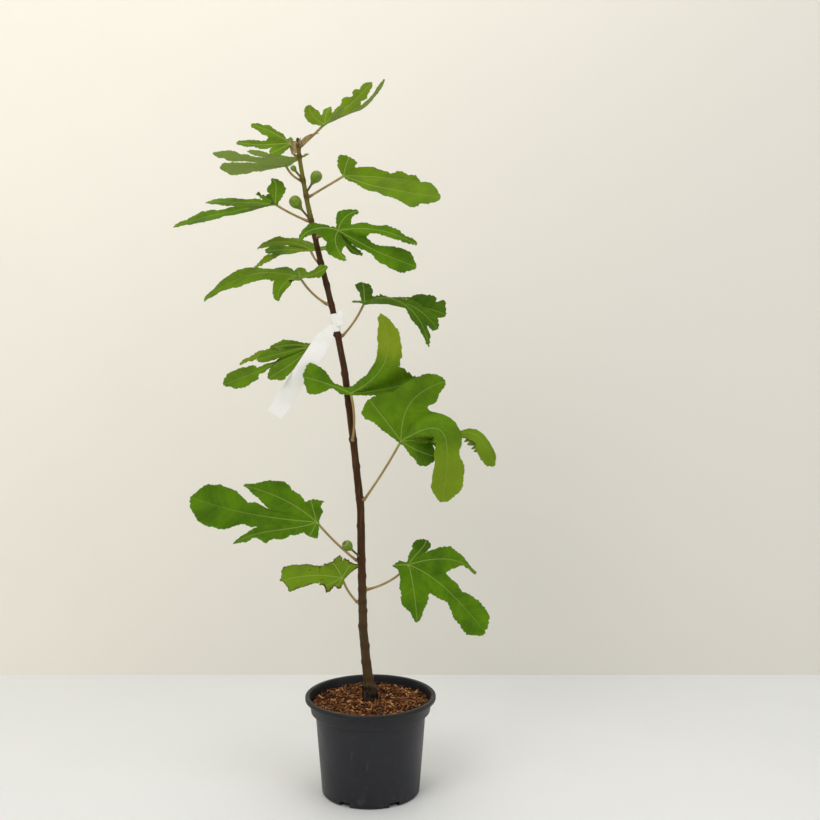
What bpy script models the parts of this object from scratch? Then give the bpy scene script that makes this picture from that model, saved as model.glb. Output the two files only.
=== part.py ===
"""Young fig tree in a nursery pot: pot, compost, leaning trunk, big lobed leaves, figs and a tie-on label."""

import math
from collections import namedtuple

import bmesh
import bpy
import numpy as np
from mathutils import Matrix, Vector

# Directions are told as seen from the front: a heading of 0 is straight up, 90 is to the right,
# 180 is down and 270 is to the left. "toward" is how far a point comes forward, to the front.
# X runs to the right, Y to the back and Z up. Sizes are in millimetres, and MM turns them into metres.
MM = 0.001
GAP = 0.3

# Pot
POT_HEIGHT = 141.5
POT_FOOT_RADIUS = 68.9
POT_BODY_RADIUS = 78.5
POT_BODY_TOP = 117.0
BAND_BOTTOM = 119.0
BAND_BOTTOM_RADIUS = 85.0
BAND_TOP_RADIUS = 87.5
LIP_HEIGHT = 6.0
LIP_RADIUS = 93.2
LIP_ROUND = 1.2
FOOT_CHAMFER = 2.0
POT_WALL = 1.6
POT_BASE = 2.4
POT_SEGMENTS = 48
NOTCHES = 6
NOTCH_WIDTH = 15.6
NOTCH_HEIGHT = 5.0
NOTCH_DEPTH = 14.0
NOTCH_FIRST_DEGREES = 30.0

# Compost
COMPOST_EDGE = 129.5
COMPOST_CROWN = 132.5
COLLAR_SEAT_RADIUS = 20.0
MOUND_RADIUS = 51.0
MOUND_HEIGHT = 131.6
COMPOST_SEGMENTS = 48

# Trunk: height above the floor, place to the right of the pot's middle, and diameter
TRUNK_COURSE = (
    (132.8, -1.0, 24.0),
    (137.0, -1.0, 20.0),
    (150.0, -2.0, 15.0),
    (191.0, -6.4, 13.0),
    (235.0, -10.5, 12.4),
    (322.0, -12.3, 11.4),
    (408.0, -13.4, 10.8),
    (507.0, -23.4, 10.0),
    (560.0, -30.0, 9.6),
    (605.0, -35.0, 9.2),
    (689.0, -50.8, 8.4),
    (771.0, -70.6, 7.8),
    (840.0, -85.4, 6.4),
    (894.0, -94.4, 5.4),
    (916.0, -96.4, 4.8),
)
TRUNK_SWAY = 7.0
TRUNK_SWAY_BENDS = 1.5
BUD_TIP_HEIGHT = 927.0
BUD_TIP_PLACE = -97.0
BUD_TIP_DIAMETER = 1.2
TRUNK_RINGS = 30
TRUNK_BEVEL = 3

# Leaves
LEAF_THICKNESS = 2.0
PETIOLE_ROOT = 5.2
PETIOLE_END = 3.2
PETIOLE_HOLD = 0.36
PETIOLE_STEPS = 7
PETIOLE_COLLAR = 3.0
PETIOLE_BEVEL = 1
RIB_STEPS = 14
ROLL_SHARE = 0.6
GRID = 21.0
HEART_SET = 3.0
BLEND_SHARPNESS = 4.0
BEYOND_WEIGHT = 2.0
NEAREST = 0.02
FLAT_CLEARANCE = 2.0

# A lobe's outline, as shares of its length and of its width
WAIST_PAST_CLEFT = 0.1
NECK_OF_BELLY = 0.5
SHOULDER_OF_BELLY = 0.82
SHOULDER_WIDTH = 0.9
CHEEK_EXTRA_WIDTH = 0.2
TIP_START = 0.97
TIP_WIDTH = 0.5
SINUS_LIMIT = 0.9

# A lobe's rib leaves the leaf's heart on the heading "start" and ends at heading, reach and toward from the
# heart, where it arrives on the heading "finish". Width is at its belly and waist is nearer the heart. Roll
# turns the blade about the rib in degrees, blunt is how wide the tip is, and hold is how stiffly the rib keeps
# its headings. Cleft is the share of its length that stays joined to its neighbours, if not the leaf's own.
Lobe = namedtuple(
    "Lobe",
    "start heading reach toward width waist roll finish belly blunt hold cleft",
    defaults=(0.0, None, 0.68, 0.55, 0.36, None),
)
Petiole = namedtuple("Petiole", "start heading reach toward")
# A leaf grows from a height on the trunk. The heading and tilt give the way that its upper side faces.
Leaf = namedtuple("Leaf", "height petiole facing tilt cleft lobes")

LEAVES = {
    "leaf_01": Leaf(912, Petiole(50, 52, 46, 6), 323, 45, 0.42, (
        Lobe(69, 53, 101, -8, 13, 12, -45, 22),
        Lobe(52, 46, 89, -34, 25, 18, 30),
        Lobe(10, 10, 24, -16, 14, 12, 20),
        Lobe(296, 310, 35, 0, 28, 22, 10),
        Lobe(72, 60, 34, 42, 14, 12, -40),
    )),
    "leaf_02": Leaf(898, Petiole(310, 327, 22, -5), 0, 60, 0.45, (
        Lobe(298, 292, 60, -14, 14, 13),
        Lobe(264, 270, 75, 0, 13, 12),
        Lobe(236, 242, 32, 8, 15, 13),
        Lobe(335, 333, 12, -8, 10, 9),
    )),
    "leaf_03": Leaf(866, Petiole(295, 310, 33, -20), 355, -30, 0.38, (
        Lobe(277, 278, 98, 30, 18, 13),
        Lobe(265, 268, 95, -20, 25, 18),
        Lobe(300, 287, 52, 40, 12, 9),
        Lobe(62, 63, 38, 6, 8, 8),
    )),
    "leaf_04": Leaf(811, Petiole(292, 294, 53, 5), 348, 45, 0.4, (
        Lobe(264, 257.5, 144, 0, 27, 18, 10),
        Lobe(277, 271.5, 104, -34, 24, 18, 40),
        Lobe(305, 299, 32, -24, 12, 11, 30),
        Lobe(348, 350, 31, -14, 30, 24, 20),
        Lobe(266, 262, 56, 50, 20, 16, -45),
        Lobe(330, 350, 12, 26, 18, 16),
    )),
    "leaf_05": Leaf(844, Petiole(60, 63, 59, 8), 12, 60, 0.5, (
        Lobe(90, 94, 107, -18, 26, 18),
        Lobe(113, 103, 135, 24, 46, 30, 0, 98, 0.72),
        Lobe(0, 14, 27, -8, 28, 24),
    )),
    "leaf_06": Leaf(789, Petiole(85, 78, 35, 25), 5, 68, 0.34, (
        Lobe(292, 254, 55, 2, 15, 13, 0, 200),
        Lobe(5, 52, 34, -4, 20, 20),
        Lobe(80, 101, 106, 10, 15, 12),
        Lobe(122, 115, 116, 4, 30, 13, 0, 110, 0.8, 0.75),
        Lobe(225, 167, 41, 8, 34, 32, 0, None, 0.6, 0.4),
        Lobe(160, 137, 44, -12, 12, 10),
    )),
    "leaf_07": Leaf(754, Petiole(312, 318, 23, -20), 350, 25, 0.35, (
        Lobe(306, 271, 78, -22, 16, 13),
        Lobe(274, 268, 63, 18, 16, 13),
        Lobe(274, 251, 90, -2, 8, 8, -25),
        Lobe(82, 82, 30, -6, 16, 12),
    )),
    "leaf_08": Leaf(697, Petiole(302, 311, 56, 12), 350, 32, 0.4, (
        Lobe(288, 255, 135, 0, 36, 26, 0),
        Lobe(300, 218, 39, 30, 26, 22, 15, None, 0.6),
        Lobe(85, 70, 43, 10, 22, 14, 20),
        Lobe(290, 280, 50, -50, 28, 22),
        Lobe(240, 252, 14, 24, 16, 14),
        Lobe(340, 335, 14, -28, 20, 18),
    )),
    "leaf_09": Leaf(653, Petiole(43, 39, 60, 6), 8, 12, 0.4, (
        Lobe(86, 99, 115, -4, 38, 14, 60, None, 0.8),
        Lobe(64, 125, 108, 26, 14, 8, 40, 172, 0.68, 0.55, 0.45),
        Lobe(72, 111, 105, 12, 22, 10, 50),
        Lobe(2, 2, 24, -22, 20, 14, 0, None, 0.68, 0.55, 0.36, 0.25),
        Lobe(272, 270, 18, 12, 12, 10),
        Lobe(78, 87, 77, -44, 12, 10),
    )),
    "leaf_10": Leaf(655, Petiole(290, 243, 40, -14), 350, 45, 0.4, (
        Lobe(280, 267, 64, -18, 18, 14),
        Lobe(272, 256, 110, -26, 11, 9, -30),
        Lobe(262, 257, 83, 4, 18, 14),
        Lobe(245, 247, 135, 22, 25, 8, 0, None, 0.72),
        Lobe(230, 237, 70, 32, 14, 12),
    )),
    "leaf_11": Leaf(507, Petiole(10, 358, 67, 20), 0, 55, 0.4, (
        Lobe(296, 290, 67, 14, 44, 9, 0, None, 0.82, 0.85, 0.36, 0.1),
        Lobe(66, 21, 120, 4, 40, 36, 0, None, 0.64, 0.55, 0.45, 0.64),
        Lobe(88, 80, 94, -16, 24, 24, 0, None, 0.68, 0.55, 0.36, 0.62),
    )),
    "leaf_12": Leaf(422, Petiole(34, 34, 105, 36), 0, 60, 0.54, (
        Lobe(322, 321, 70, 0, 44, 40, 0, None, 0.68, 0.55, 0.36, 0.7),
        Lobe(0, 37, 105, 0, 48, 42, 0, 72, 0.66, 0.65, 0.46, 0.7),
        Lobe(62, 146, 103, 12, 60, 40, 0, 188, 0.76, 0.7, 0.85),
        Lobe(80, 107, 134, -14, 36, 12, 0, 172, 0.8, 0.6, 0.62),
        Lobe(125, 115, 52, -4, 38, 30),
    )),
    "leaf_13": Leaf(335, Petiole(310, 312, 84, 10), 0, 78, 0.45, (
        Lobe(274, 281.5, 183, -6, 66, 28, 0, 290, 0.8),
        Lobe(312, 296, 116, -8, 42, 44, 0, None, 0.6),
        Lobe(350, 352, 33, -4, 28, 26),
        Lobe(250, 255.5, 120, 8, 22, 24, 0, None, 0.6),
        Lobe(205, 212, 21, 4, 24, 20),
    )),
    "leaf_14": Leaf(275, Petiole(318, 322, 46, 8), 350, 50, 0.8, (
        Lobe(285, 265, 87, 5, 32, 30),
        Lobe(38, 40, 23, -10, 20, 20),
        Lobe(335, 314, 32, -24, 28, 28),
        Lobe(244, 250, 30, 22, 28, 26),
        Lobe(200, 216, 14, 14, 18, 16),
    )),
    "leaf_15": Leaf(293, Petiole(74, 60, 77, 15), 8, 75, 0.45, (
        Lobe(168, 172, 80, 8, 42, 38),
        Lobe(112, 131, 146, 10, 42, 26, 0, 138, 0.78),
        Lobe(70, 99, 90, 0, 36, 34, 0, 142),
        Lobe(24, 39, 42, -8, 22, 22),
        Lobe(270, 270, 26, 2, 13, 13),
    )),
}

# Figs: height of the node on the trunk, then heading, reach and toward of the fig's far end, and its diameter
Fig = namedtuple("Fig", "height heading reach toward diameter")
FIGS = {
    "fig_01": Fig(850, 38, 33, 12, 16.0),
    "fig_02": Fig(815, 317, 38, 6, 17.0),
    "fig_03": Fig(869, 316, 22, 2, 8.0),
    "fig_04": Fig(341, 316, 33, 26, 15.0),
}
FIG_STALK_SHARE = 0.42
FIG_STALK_DIAMETER = 3.0
FIG_BODY_SHARE = 1.15
FIG_SEGMENTS = 14
# The fig's body from its eye to its neck: shares of its radius, and of its length from the stalk
FIG_BODY = ((0.0, 1.0), (0.45, 0.96), (0.85, 0.8), (1.0, 0.55), (0.85, 0.28), (0.45, 0.08))
FIG_NECK = -0.08

# Label
LABEL_HEIGHT = 671.5
LABEL_RING_RADIUS = 5.4
LABEL_RING_TALL = 25.0
LABEL_THICKNESS = 0.8
LABEL_NECK = 9.0
LABEL_WIDTH = 22.0
LABEL_LENGTH = 143.0
LABEL_START = 5.0
LABEL_NECK_LENGTH = 26.0
LABEL_HEADING = 213.5
LABEL_BULGE = 4.0
LABEL_SEGMENTS = 24
LABEL_ROWS = 10


def unit(vector):
    """The vector scaled to a length of one."""
    return vector / np.linalg.norm(vector)


def place(heading, reach, toward=0.0):
    """The offset in millimetres of a point at a heading and reach in the front view."""
    angle = math.radians(heading)
    return np.array((reach * math.sin(angle), -toward, reach * math.cos(angle)))


def smooth_step(value):
    """A value that eases from 0 to 1."""
    held = np.clip(value, 0.0, 1.0)
    return held * held * (3.0 - 2.0 * held)


def trunk_point(height):
    """The middle of the trunk at a height, in millimetres."""
    heights, places, _ = zip(*TRUNK_COURSE)
    share = (height - heights[0]) / (heights[-1] - heights[0])
    back = TRUNK_SWAY * math.sin(math.pi * TRUNK_SWAY_BENDS * share)
    return np.array((np.interp(height, heights, places), back, height))


def trunk_radius(height):
    """The trunk's radius at a height, in millimetres."""
    heights, _, diameters = zip(*TRUNK_COURSE)
    return float(np.interp(height, heights, diameters)) / 2.0


def bent_course(start, heading, reach, toward, finish, hold, steps):
    """Points of a curve that leaves its root on one heading and arrives at its tip on another."""
    if finish is None:
        finish = 2.0 * heading - start
    chord = place(heading, reach, toward)
    first = place(start, reach * hold, toward / 3.0)
    last = chord - place(finish, reach * hold, toward / 3.0)
    share = np.linspace(0.0, 1.0, steps + 1)[:, None]
    rest = 1.0 - share
    return 3.0 * rest ** 2 * share * first + 3.0 * rest * share ** 2 * last + share ** 3 * chord


class Rib:
    """The main vein of one lobe: its course in space and the direction across the blade along it."""

    def __init__(self, lobe, upward):
        self.lobe = lobe
        self.points = bent_course(lobe.start, lobe.heading, lobe.reach, lobe.toward, lobe.finish, lobe.hold,
                                  RIB_STEPS)
        steps = np.diff(self.points, axis=0)
        self.along = np.concatenate(((0.0,), np.cumsum(np.linalg.norm(steps, axis=1))))
        self.length = self.along[-1]
        self.tangents = np.array([unit(row) for row in np.gradient(self.points, self.along, axis=0)])
        side = unit(np.cross(upward, self.tangents[0]))
        sides = []
        for tangent, run in zip(self.tangents, self.along):
            side = unit(side - side.dot(tangent) * tangent)
            roll = math.radians(lobe.roll) * float(smooth_step(run / self.length / ROLL_SHARE))
            sides.append(side * math.cos(roll) + np.cross(tangent, side) * math.sin(roll))
        self.sides = np.array(sides)

    def carry(self, runs, offsets):
        """Where points of the flat blade lie in space: run along this rib and offset across it."""
        held = np.clip(runs, 0.0, self.length)

        def read(rows):
            return np.stack([np.interp(held, self.along, rows[:, axis]) for axis in range(3)], axis=1)

        beyond = read(self.tangents) * (runs - held)[:, None]
        return read(self.points) + beyond + read(self.sides) * offsets[:, None]


class Blade:
    """A lobed blade: flat outline and the way it is bent, both worked out from its lobes."""

    def __init__(self, leaf):
        facing = place(leaf.facing, 1.0)
        tilt = math.radians(leaf.tilt)
        self.leaf = leaf
        self.upward = unit(facing * math.cos(tilt) + np.array((0.0, -1.0, 0.0)) * math.sin(tilt))
        ribs = [Rib(lobe, self.upward) for lobe in leaf.lobes]
        main = max(ribs, key=lambda rib: rib.length)
        ahead = unit(main.tangents[0] - main.tangents[0].dot(self.upward) * self.upward)
        across = np.cross(self.upward, ahead)
        for rib in ribs:
            rib.angle = math.atan2(rib.tangents[0].dot(across), rib.tangents[0].dot(ahead))
        self.ribs = sorted(ribs, key=lambda rib: rib.angle)
        self.spread(self.ribs.index(main))

    def spread(self, middle):
        """Turn the lobes apart in the flat pattern, outward from the main one, until their sides clear."""
        flare = [max(math.atan2(width, run) for run, width in self.half_widths(rib)) for rib in self.ribs]
        for step in (1, -1):
            index = middle
            while 0 <= index + step < len(self.ribs):
                need = flare[index] + flare[index + step] + math.radians(FLAT_CLEARANCE)
                between = step * (self.ribs[index + step].angle - self.ribs[index].angle)
                self.ribs[index + step].angle += step * max(need - between, 0.0)
                index += step

    def cleft(self, rib):
        """The share of a lobe's length that stays joined to its neighbours."""
        return self.leaf.cleft if rib.lobe.cleft is None else rib.lobe.cleft

    def half_widths(self, rib):
        """The lobe's outline on one side of its rib: pairs of run along the rib and half width."""
        lobe = rib.lobe
        begin = self.cleft(rib) + WAIST_PAST_CLEFT
        steps = (
            (begin, lobe.waist),
            (lobe.belly * NECK_OF_BELLY, lobe.waist),
            (lobe.belly * SHOULDER_OF_BELLY, lobe.width * SHOULDER_WIDTH),
            (lobe.belly, lobe.width),
            ((lobe.belly + 1.0) / 2.0, lobe.width * (lobe.blunt + CHEEK_EXTRA_WIDTH)),
            (TIP_START, lobe.width * lobe.blunt * TIP_WIDTH),
        )
        return [(share * rib.length, width / 2.0) for share, width in steps if share >= begin]

    def outline(self):
        """The flat outline: each lobe's waist, belly, shoulder and tip, with a sinus between the lobes."""
        points = []
        ribs = self.ribs
        for rib, following in zip(ribs, ribs[1:] + [None]):
            half = self.half_widths(rib)
            direction = np.array((math.cos(rib.angle), math.sin(rib.angle)))
            normal = np.array((-direction[1], direction[0]))
            lower = [direction * run - normal * width for run, width in half]
            upper = [direction * run + normal * width for run, width in reversed(half)]
            points += lower + [direction * rib.length] + upper
            if following is not None:
                middle = (rib.angle + following.angle) / 2.0
                depth = min(self.cleft(rib), self.cleft(following)) * math.sqrt(rib.length * following.length)
                depth = min(depth, SINUS_LIMIT * rib.length, SINUS_LIMIT * following.length)
                points.append(depth * np.array((math.cos(middle), math.sin(middle))))
        back = (ribs[0].angle + ribs[-1].angle) / 2.0 + math.pi
        points.append(HEART_SET * np.array((math.cos(back), math.sin(back))))
        return points

    def bend(self, flat):
        """Carry flat points into space, each by the rib it lies nearest to in that lobe's own widths."""
        places = []
        nearness = []
        for rib in self.ribs:
            runs = flat[:, 0] * math.cos(rib.angle) + flat[:, 1] * math.sin(rib.angle)
            offsets = flat[:, 1] * math.cos(rib.angle) - flat[:, 0] * math.sin(rib.angle)
            places.append(rib.carry(runs, offsets))
            along, widths = zip(*self.half_widths(rib))
            widths = np.interp(runs, along, widths)
            beyond = np.maximum(runs - rib.length, 0.0) + np.maximum(-runs, 0.0)
            away = (np.abs(offsets) + BEYOND_WEIGHT * beyond) / widths + NEAREST
            nearness.append(away ** -BLEND_SHARPNESS)
        total = sum(nearness)
        return sum(where * (near / total)[:, None] for where, near in zip(places, nearness))


def new_object(name, mesh, collection):
    """Link a mesh as a named object."""
    item = bpy.data.objects.new(name, mesh)
    collection.objects.link(item)
    return item


def evaluated_mesh(item, name):
    """A plain mesh of the object with its modifiers or curve bevel worked in, in world space."""
    graph = bpy.context.evaluated_depsgraph_get()
    mesh = bpy.data.meshes.new_from_object(item.evaluated_get(graph), depsgraph=graph)
    mesh.name = name
    mesh.transform(item.matrix_world)
    return mesh


def weld(mesh, distance=0.01):
    """Merge a mesh's doubled points and point its faces outwards."""
    shape = bmesh.new()
    shape.from_mesh(mesh)
    bmesh.ops.remove_doubles(shape, verts=shape.verts, dist=distance * MM)
    bmesh.ops.recalc_face_normals(shape, faces=shape.faces)
    shape.to_mesh(mesh)
    shape.free()


def tube(name, points, diameters, bevel, collection):
    """A closed tapering tube along points in millimetres."""
    curve = bpy.data.curves.new(name, "CURVE")
    curve.dimensions = "3D"
    curve.bevel_depth = MM / 2.0
    curve.bevel_resolution = bevel
    curve.use_fill_caps = True
    spline = curve.splines.new("POLY")
    spline.points.add(len(points) - 1)
    for point, where, diameter in zip(spline.points, points, diameters):
        point.co = (*(np.asarray(where) * MM), 1.0)
        point.radius = diameter
    guide = new_object(name + "_guide", curve, collection)
    mesh = evaluated_mesh(guide, name)
    bpy.data.objects.remove(guide)
    weld(mesh)
    return new_object(name, mesh, collection)


def turned(name, profile, segments, collection, ring=False):
    """A closed turned shape from a profile of (radius, height) in millimetres; a ring's profile is a loop."""
    edges = [(index, index + 1) for index in range(len(profile) - 1)]
    if ring:
        edges.append((len(profile) - 1, 0))
    mesh = bpy.data.meshes.new(name)
    mesh.from_pydata([(radius * MM, 0.0, height * MM) for radius, height in profile], edges, [])
    item = new_object(name, mesh, collection)
    screw = item.modifiers.new("Turn", "SCREW")
    screw.steps = segments
    screw.render_steps = segments
    screw.use_merge_vertices = True
    screw.merge_threshold = 0.00001
    screw.use_smooth_shade = True
    return item


def union(item, other, solver="EXACT"):
    """Fuse another object into this one and remove the other."""
    join = item.modifiers.new("Union", "BOOLEAN")
    join.operation = "UNION"
    join.solver = solver
    join.object = other
    mesh = evaluated_mesh(item, item.name)
    item.modifiers.clear()
    item.data = mesh
    bpy.data.objects.remove(other)


def finish_material(item, name, colour, roughness, metallic=0.0):
    """Give the object its own Principled material."""
    material = bpy.data.materials.new(name)
    material.use_nodes = True
    shader = material.node_tree.nodes["Principled BSDF"]
    shader.inputs["Base Color"].default_value = (*colour, 1.0)
    shader.inputs["Roughness"].default_value = roughness
    shader.inputs["Metallic"].default_value = metallic
    item.data.materials.clear()
    item.data.materials.append(material)


def pot_inner_radius(height):
    """The radius of the pot's inner wall at a height below its band, in millimetres."""
    share = height / POT_BODY_TOP
    return POT_FOOT_RADIUS + (POT_BODY_RADIUS - POT_FOOT_RADIUS) * share - POT_WALL


def make_pot(parts, cutters):
    """The nursery pot: tapered body, band, rolled lip and drainage notches round its foot."""
    lip_bottom = POT_HEIGHT - LIP_HEIGHT
    band_inner = BAND_TOP_RADIUS - POT_WALL
    profile = (
        (0.0, POT_BASE),
        (pot_inner_radius(POT_BASE), POT_BASE),
        (pot_inner_radius(POT_BODY_TOP), POT_BODY_TOP),
        (BAND_BOTTOM_RADIUS - POT_WALL, BAND_BOTTOM + POT_WALL),
        (band_inner, lip_bottom),
        (LIP_RADIUS - LIP_HEIGHT, POT_HEIGHT - LIP_ROUND),
        (LIP_RADIUS - LIP_HEIGHT + LIP_ROUND, POT_HEIGHT),
        (LIP_RADIUS - LIP_ROUND, POT_HEIGHT),
        (LIP_RADIUS, POT_HEIGHT - LIP_ROUND),
        (LIP_RADIUS, lip_bottom),
        (BAND_TOP_RADIUS, lip_bottom),
        (BAND_BOTTOM_RADIUS, BAND_BOTTOM),
        (POT_BODY_RADIUS, POT_BODY_TOP),
        (POT_FOOT_RADIUS + FOOT_CHAMFER / 2.0, FOOT_CHAMFER),
        (POT_FOOT_RADIUS - FOOT_CHAMFER / 2.0, 0.0),
        (0.0, 0.0),
    )
    pot = turned("pot", profile, POT_SEGMENTS, parts)
    for index in range(NOTCHES):
        bpy.ops.mesh.primitive_cube_add(size=MM)
        cutter = bpy.context.object
        cutter.name = "notch_cutter_%d" % (index + 1)
        cutter.scale = (NOTCH_DEPTH, NOTCH_WIDTH, NOTCH_HEIGHT * 2.0)
        turn = math.radians(NOTCH_FIRST_DEGREES + index * 360.0 / NOTCHES - 90.0)
        reach = POT_FOOT_RADIUS * MM
        cutter.location = (reach * math.cos(turn), reach * math.sin(turn), 0.0)
        cutter.rotation_euler = (0.0, 0.0, turn)
        for owner in list(cutter.users_collection):
            owner.objects.unlink(cutter)
        cutters.objects.link(cutter)
        cutter.hide_render = True
        cutter.display_type = "WIRE"
        cut = pot.modifiers.new("Notch %d" % (index + 1), "BOOLEAN")
        cut.operation = "DIFFERENCE"
        cut.object = cutter
    finish_material(pot, "Pot plastic", (0.035, 0.036, 0.04), 0.5)


def make_compost(parts):
    """The compost that fills the pot, with a slightly crowned top and a flat seat under the trunk."""
    top = COMPOST_EDGE
    profile = (
        (0.0, COMPOST_CROWN),
        (COLLAR_SEAT_RADIUS, COMPOST_CROWN),
        (MOUND_RADIUS, MOUND_HEIGHT),
        (BAND_BOTTOM_RADIUS - POT_WALL - GAP, top),
        (BAND_BOTTOM_RADIUS - POT_WALL - GAP, BAND_BOTTOM + POT_WALL + GAP),
        (pot_inner_radius(POT_BODY_TOP) - GAP, POT_BODY_TOP + GAP),
        (pot_inner_radius(POT_BASE) - GAP, POT_BASE + GAP),
        (0.0, POT_BASE + GAP),
    )
    compost = turned("compost", profile, COMPOST_SEGMENTS, parts)
    finish_material(compost, "Bark mulch", (0.22, 0.1, 0.04), 0.9)


def make_trunk(parts):
    """The trunk, from a flat cut at the compost to the pointed bud at its tip."""
    high = TRUNK_COURSE[-1][0]
    collar = [row[0] for row in TRUNK_COURSE[:3]]
    heights = collar + list(np.linspace(collar[-1], high, TRUNK_RINGS))[1:]
    points = [trunk_point(height) for height in heights]
    points[1][:2] = points[0][:2]
    diameters = [2.0 * trunk_radius(height) for height in heights]
    points.append(np.array((BUD_TIP_PLACE, points[-1][1], BUD_TIP_HEIGHT)))
    diameters.append(BUD_TIP_DIAMETER)
    trunk = tube("trunk", points, diameters, TRUNK_BEVEL, parts)
    trunk.data.shade_smooth()
    finish_material(trunk, "Trunk bark", (0.07, 0.035, 0.015), 0.6)


def outward_from_trunk(height, direction, breadth):
    """Where a stalk of a breadth stands just clear of the leaning trunk, and which way is out from there."""
    out = unit(np.array((direction[0], direction[1], 0.0)))
    rise = trunk_point(height + breadth) - trunk_point(height - breadth)
    lean = abs(rise.dot(out) / rise[2]) * breadth / 2.0
    return trunk_point(height) + out * (trunk_radius(height - breadth) + lean + GAP), out


def make_leaf(name, leaf, parts):
    """One leaf: a thin lobed blade bent into its place, fused to its petiole."""
    petiole = leaf.petiole
    chord = place(petiole.heading, petiole.reach, petiole.toward)
    root, outward = outward_from_trunk(leaf.height, chord, PETIOLE_ROOT)
    heart = trunk_point(leaf.height) + chord
    collar = root + outward * PETIOLE_COLLAR
    across, back, up = heart - collar
    heading = math.degrees(math.atan2(across, up))
    course = bent_course(petiole.start, heading, math.hypot(across, up), -back, None, PETIOLE_HOLD, PETIOLE_STEPS)
    points = [root] + list(collar + course)
    diameters = np.linspace(PETIOLE_ROOT, PETIOLE_END, len(points))
    stalk = tube(name + "_petiole", points, diameters, PETIOLE_BEVEL, parts)

    blade = Blade(leaf)
    shape = bmesh.new()
    corners = [shape.verts.new((*point, 0.0)) for point in blade.outline()]
    shape.faces.new(corners)
    reach = max(max(abs(vert.co.x), abs(vert.co.y)) for vert in shape.verts)
    lines = int(reach // GRID) + 1
    for axis in (Vector((1.0, 0.0, 0.0)), Vector((0.0, 1.0, 0.0))):
        for line in range(-lines, lines + 1):
            geometry = shape.verts[:] + shape.edges[:] + shape.faces[:]
            bmesh.ops.bisect_plane(shape, geom=geometry, dist=0.01, plane_co=axis * (line + 0.5) * GRID,
                                   plane_no=axis)
    bmesh.ops.triangulate(shape, faces=shape.faces[:])
    shape.verts.ensure_lookup_table()
    flat = np.array([(vert.co.x, vert.co.y) for vert in shape.verts])
    for vert, where in zip(shape.verts, blade.bend(flat)):
        vert.co = Vector((where + heart) * MM)
    bmesh.ops.recalc_face_normals(shape, faces=shape.faces)
    mesh = bpy.data.meshes.new(name)
    shape.to_mesh(mesh)
    shape.free()
    item = new_object(name, mesh, parts)
    skin = item.modifiers.new("Thickness", "SOLIDIFY")
    skin.thickness = LEAF_THICKNESS * MM
    skin.offset = 0.0
    union(item, stalk)
    finish_material(item, "Leaf green", (0.1, 0.22, 0.02), 0.5)


def make_fig(name, fig, parts):
    """One small green fig on its stalk, pear shaped, pointing away from the trunk."""
    chord = place(fig.heading, fig.reach, fig.toward)
    stalk = FIG_STALK_DIAMETER / 2.0
    root, outward = outward_from_trunk(fig.height, chord, FIG_STALK_DIAMETER)
    root = root + outward * stalk * abs(unit(chord)[2])
    tip = trunk_point(fig.height) + chord
    length = float(np.linalg.norm(tip - root))
    radius = fig.diameter / 2.0
    body = min(length * (1.0 - FIG_STALK_SHARE), fig.diameter * FIG_BODY_SHARE)
    shoulder = length - body
    profile = [(radius * across, shoulder + body * along) for across, along in FIG_BODY]
    profile += [(stalk, shoulder + body * FIG_NECK), (stalk, 0.0), (0.0, 0.0)]
    item = turned(name, profile, FIG_SEGMENTS, parts)
    item.matrix_world = Matrix.Translation(Vector(root * MM)) @ turned_towards(tip - root)
    finish_material(item, "Fig green", (0.1, 0.2, 0.03), 0.4)


def turned_towards(direction):
    """The matrix that turns the Z axis to a direction."""
    return Vector((0.0, 0.0, 1.0)).rotation_difference(Vector(direction)).to_matrix().to_4x4()


def make_label(parts):
    """The blank label: a loop round the trunk, and a strip that hangs from it down to the left."""
    half = LABEL_RING_TALL / 2.0
    inner = LABEL_RING_RADIUS
    outer = LABEL_RING_RADIUS + LABEL_THICKNESS
    profile = ((outer, half), (outer, -half), (inner, -half), (inner, half))
    low = trunk_point(LABEL_HEIGHT - half)
    high = trunk_point(LABEL_HEIGHT + half)
    middle = (low + high) / 2.0
    ring = turned("label", profile, LABEL_SEGMENTS, parts, ring=True)
    ring.matrix_world = Matrix.Translation(Vector(middle * MM)) @ turned_towards(high - low)
    bpy.context.view_layer.update()
    mesh = evaluated_mesh(ring, "label")
    bpy.data.objects.remove(ring)
    item = new_object("label", mesh, parts)

    shape = bmesh.new()
    bmesh.ops.create_grid(shape, x_segments=2, y_segments=LABEL_ROWS, size=0.5)
    start = middle + place(LABEL_HEADING, LABEL_START, inner + LABEL_THICKNESS / 2.0)
    for vert in shape.verts:
        share = vert.co.y + 0.5
        run = share * LABEL_LENGTH
        width = LABEL_NECK + (LABEL_WIDTH - LABEL_NECK) * float(smooth_step(run / LABEL_NECK_LENGTH))
        bulge = LABEL_BULGE * math.sin(math.pi * share)
        where = start + place(LABEL_HEADING, run, bulge) + place(LABEL_HEADING + 90.0, vert.co.x * width)
        vert.co = Vector(where * MM)
    mesh = bpy.data.meshes.new("label_strip")
    shape.to_mesh(mesh)
    shape.free()
    strip = new_object("label_strip", mesh, parts)
    skin = strip.modifiers.new("Thickness", "SOLIDIFY")
    skin.thickness = LABEL_THICKNESS * MM
    skin.offset = 0.0
    union(item, strip)
    finish_material(item, "Label plastic", (0.75, 0.75, 0.72), 0.5)


def build():
    """Model the whole plant."""
    for item in list(bpy.data.objects):
        bpy.data.objects.remove(item)
    parts = bpy.data.collections.new("Potted fig tree")
    cutters = bpy.data.collections.new("Cutters")
    bpy.context.scene.collection.children.link(parts)
    bpy.context.scene.collection.children.link(cutters)
    make_pot(parts, cutters)
    make_compost(parts)
    make_trunk(parts)
    for name, leaf in LEAVES.items():
        make_leaf(name, leaf, parts)
    for name, fig in FIGS.items():
        make_fig(name, fig, parts)
    make_label(parts)


build()
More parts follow.
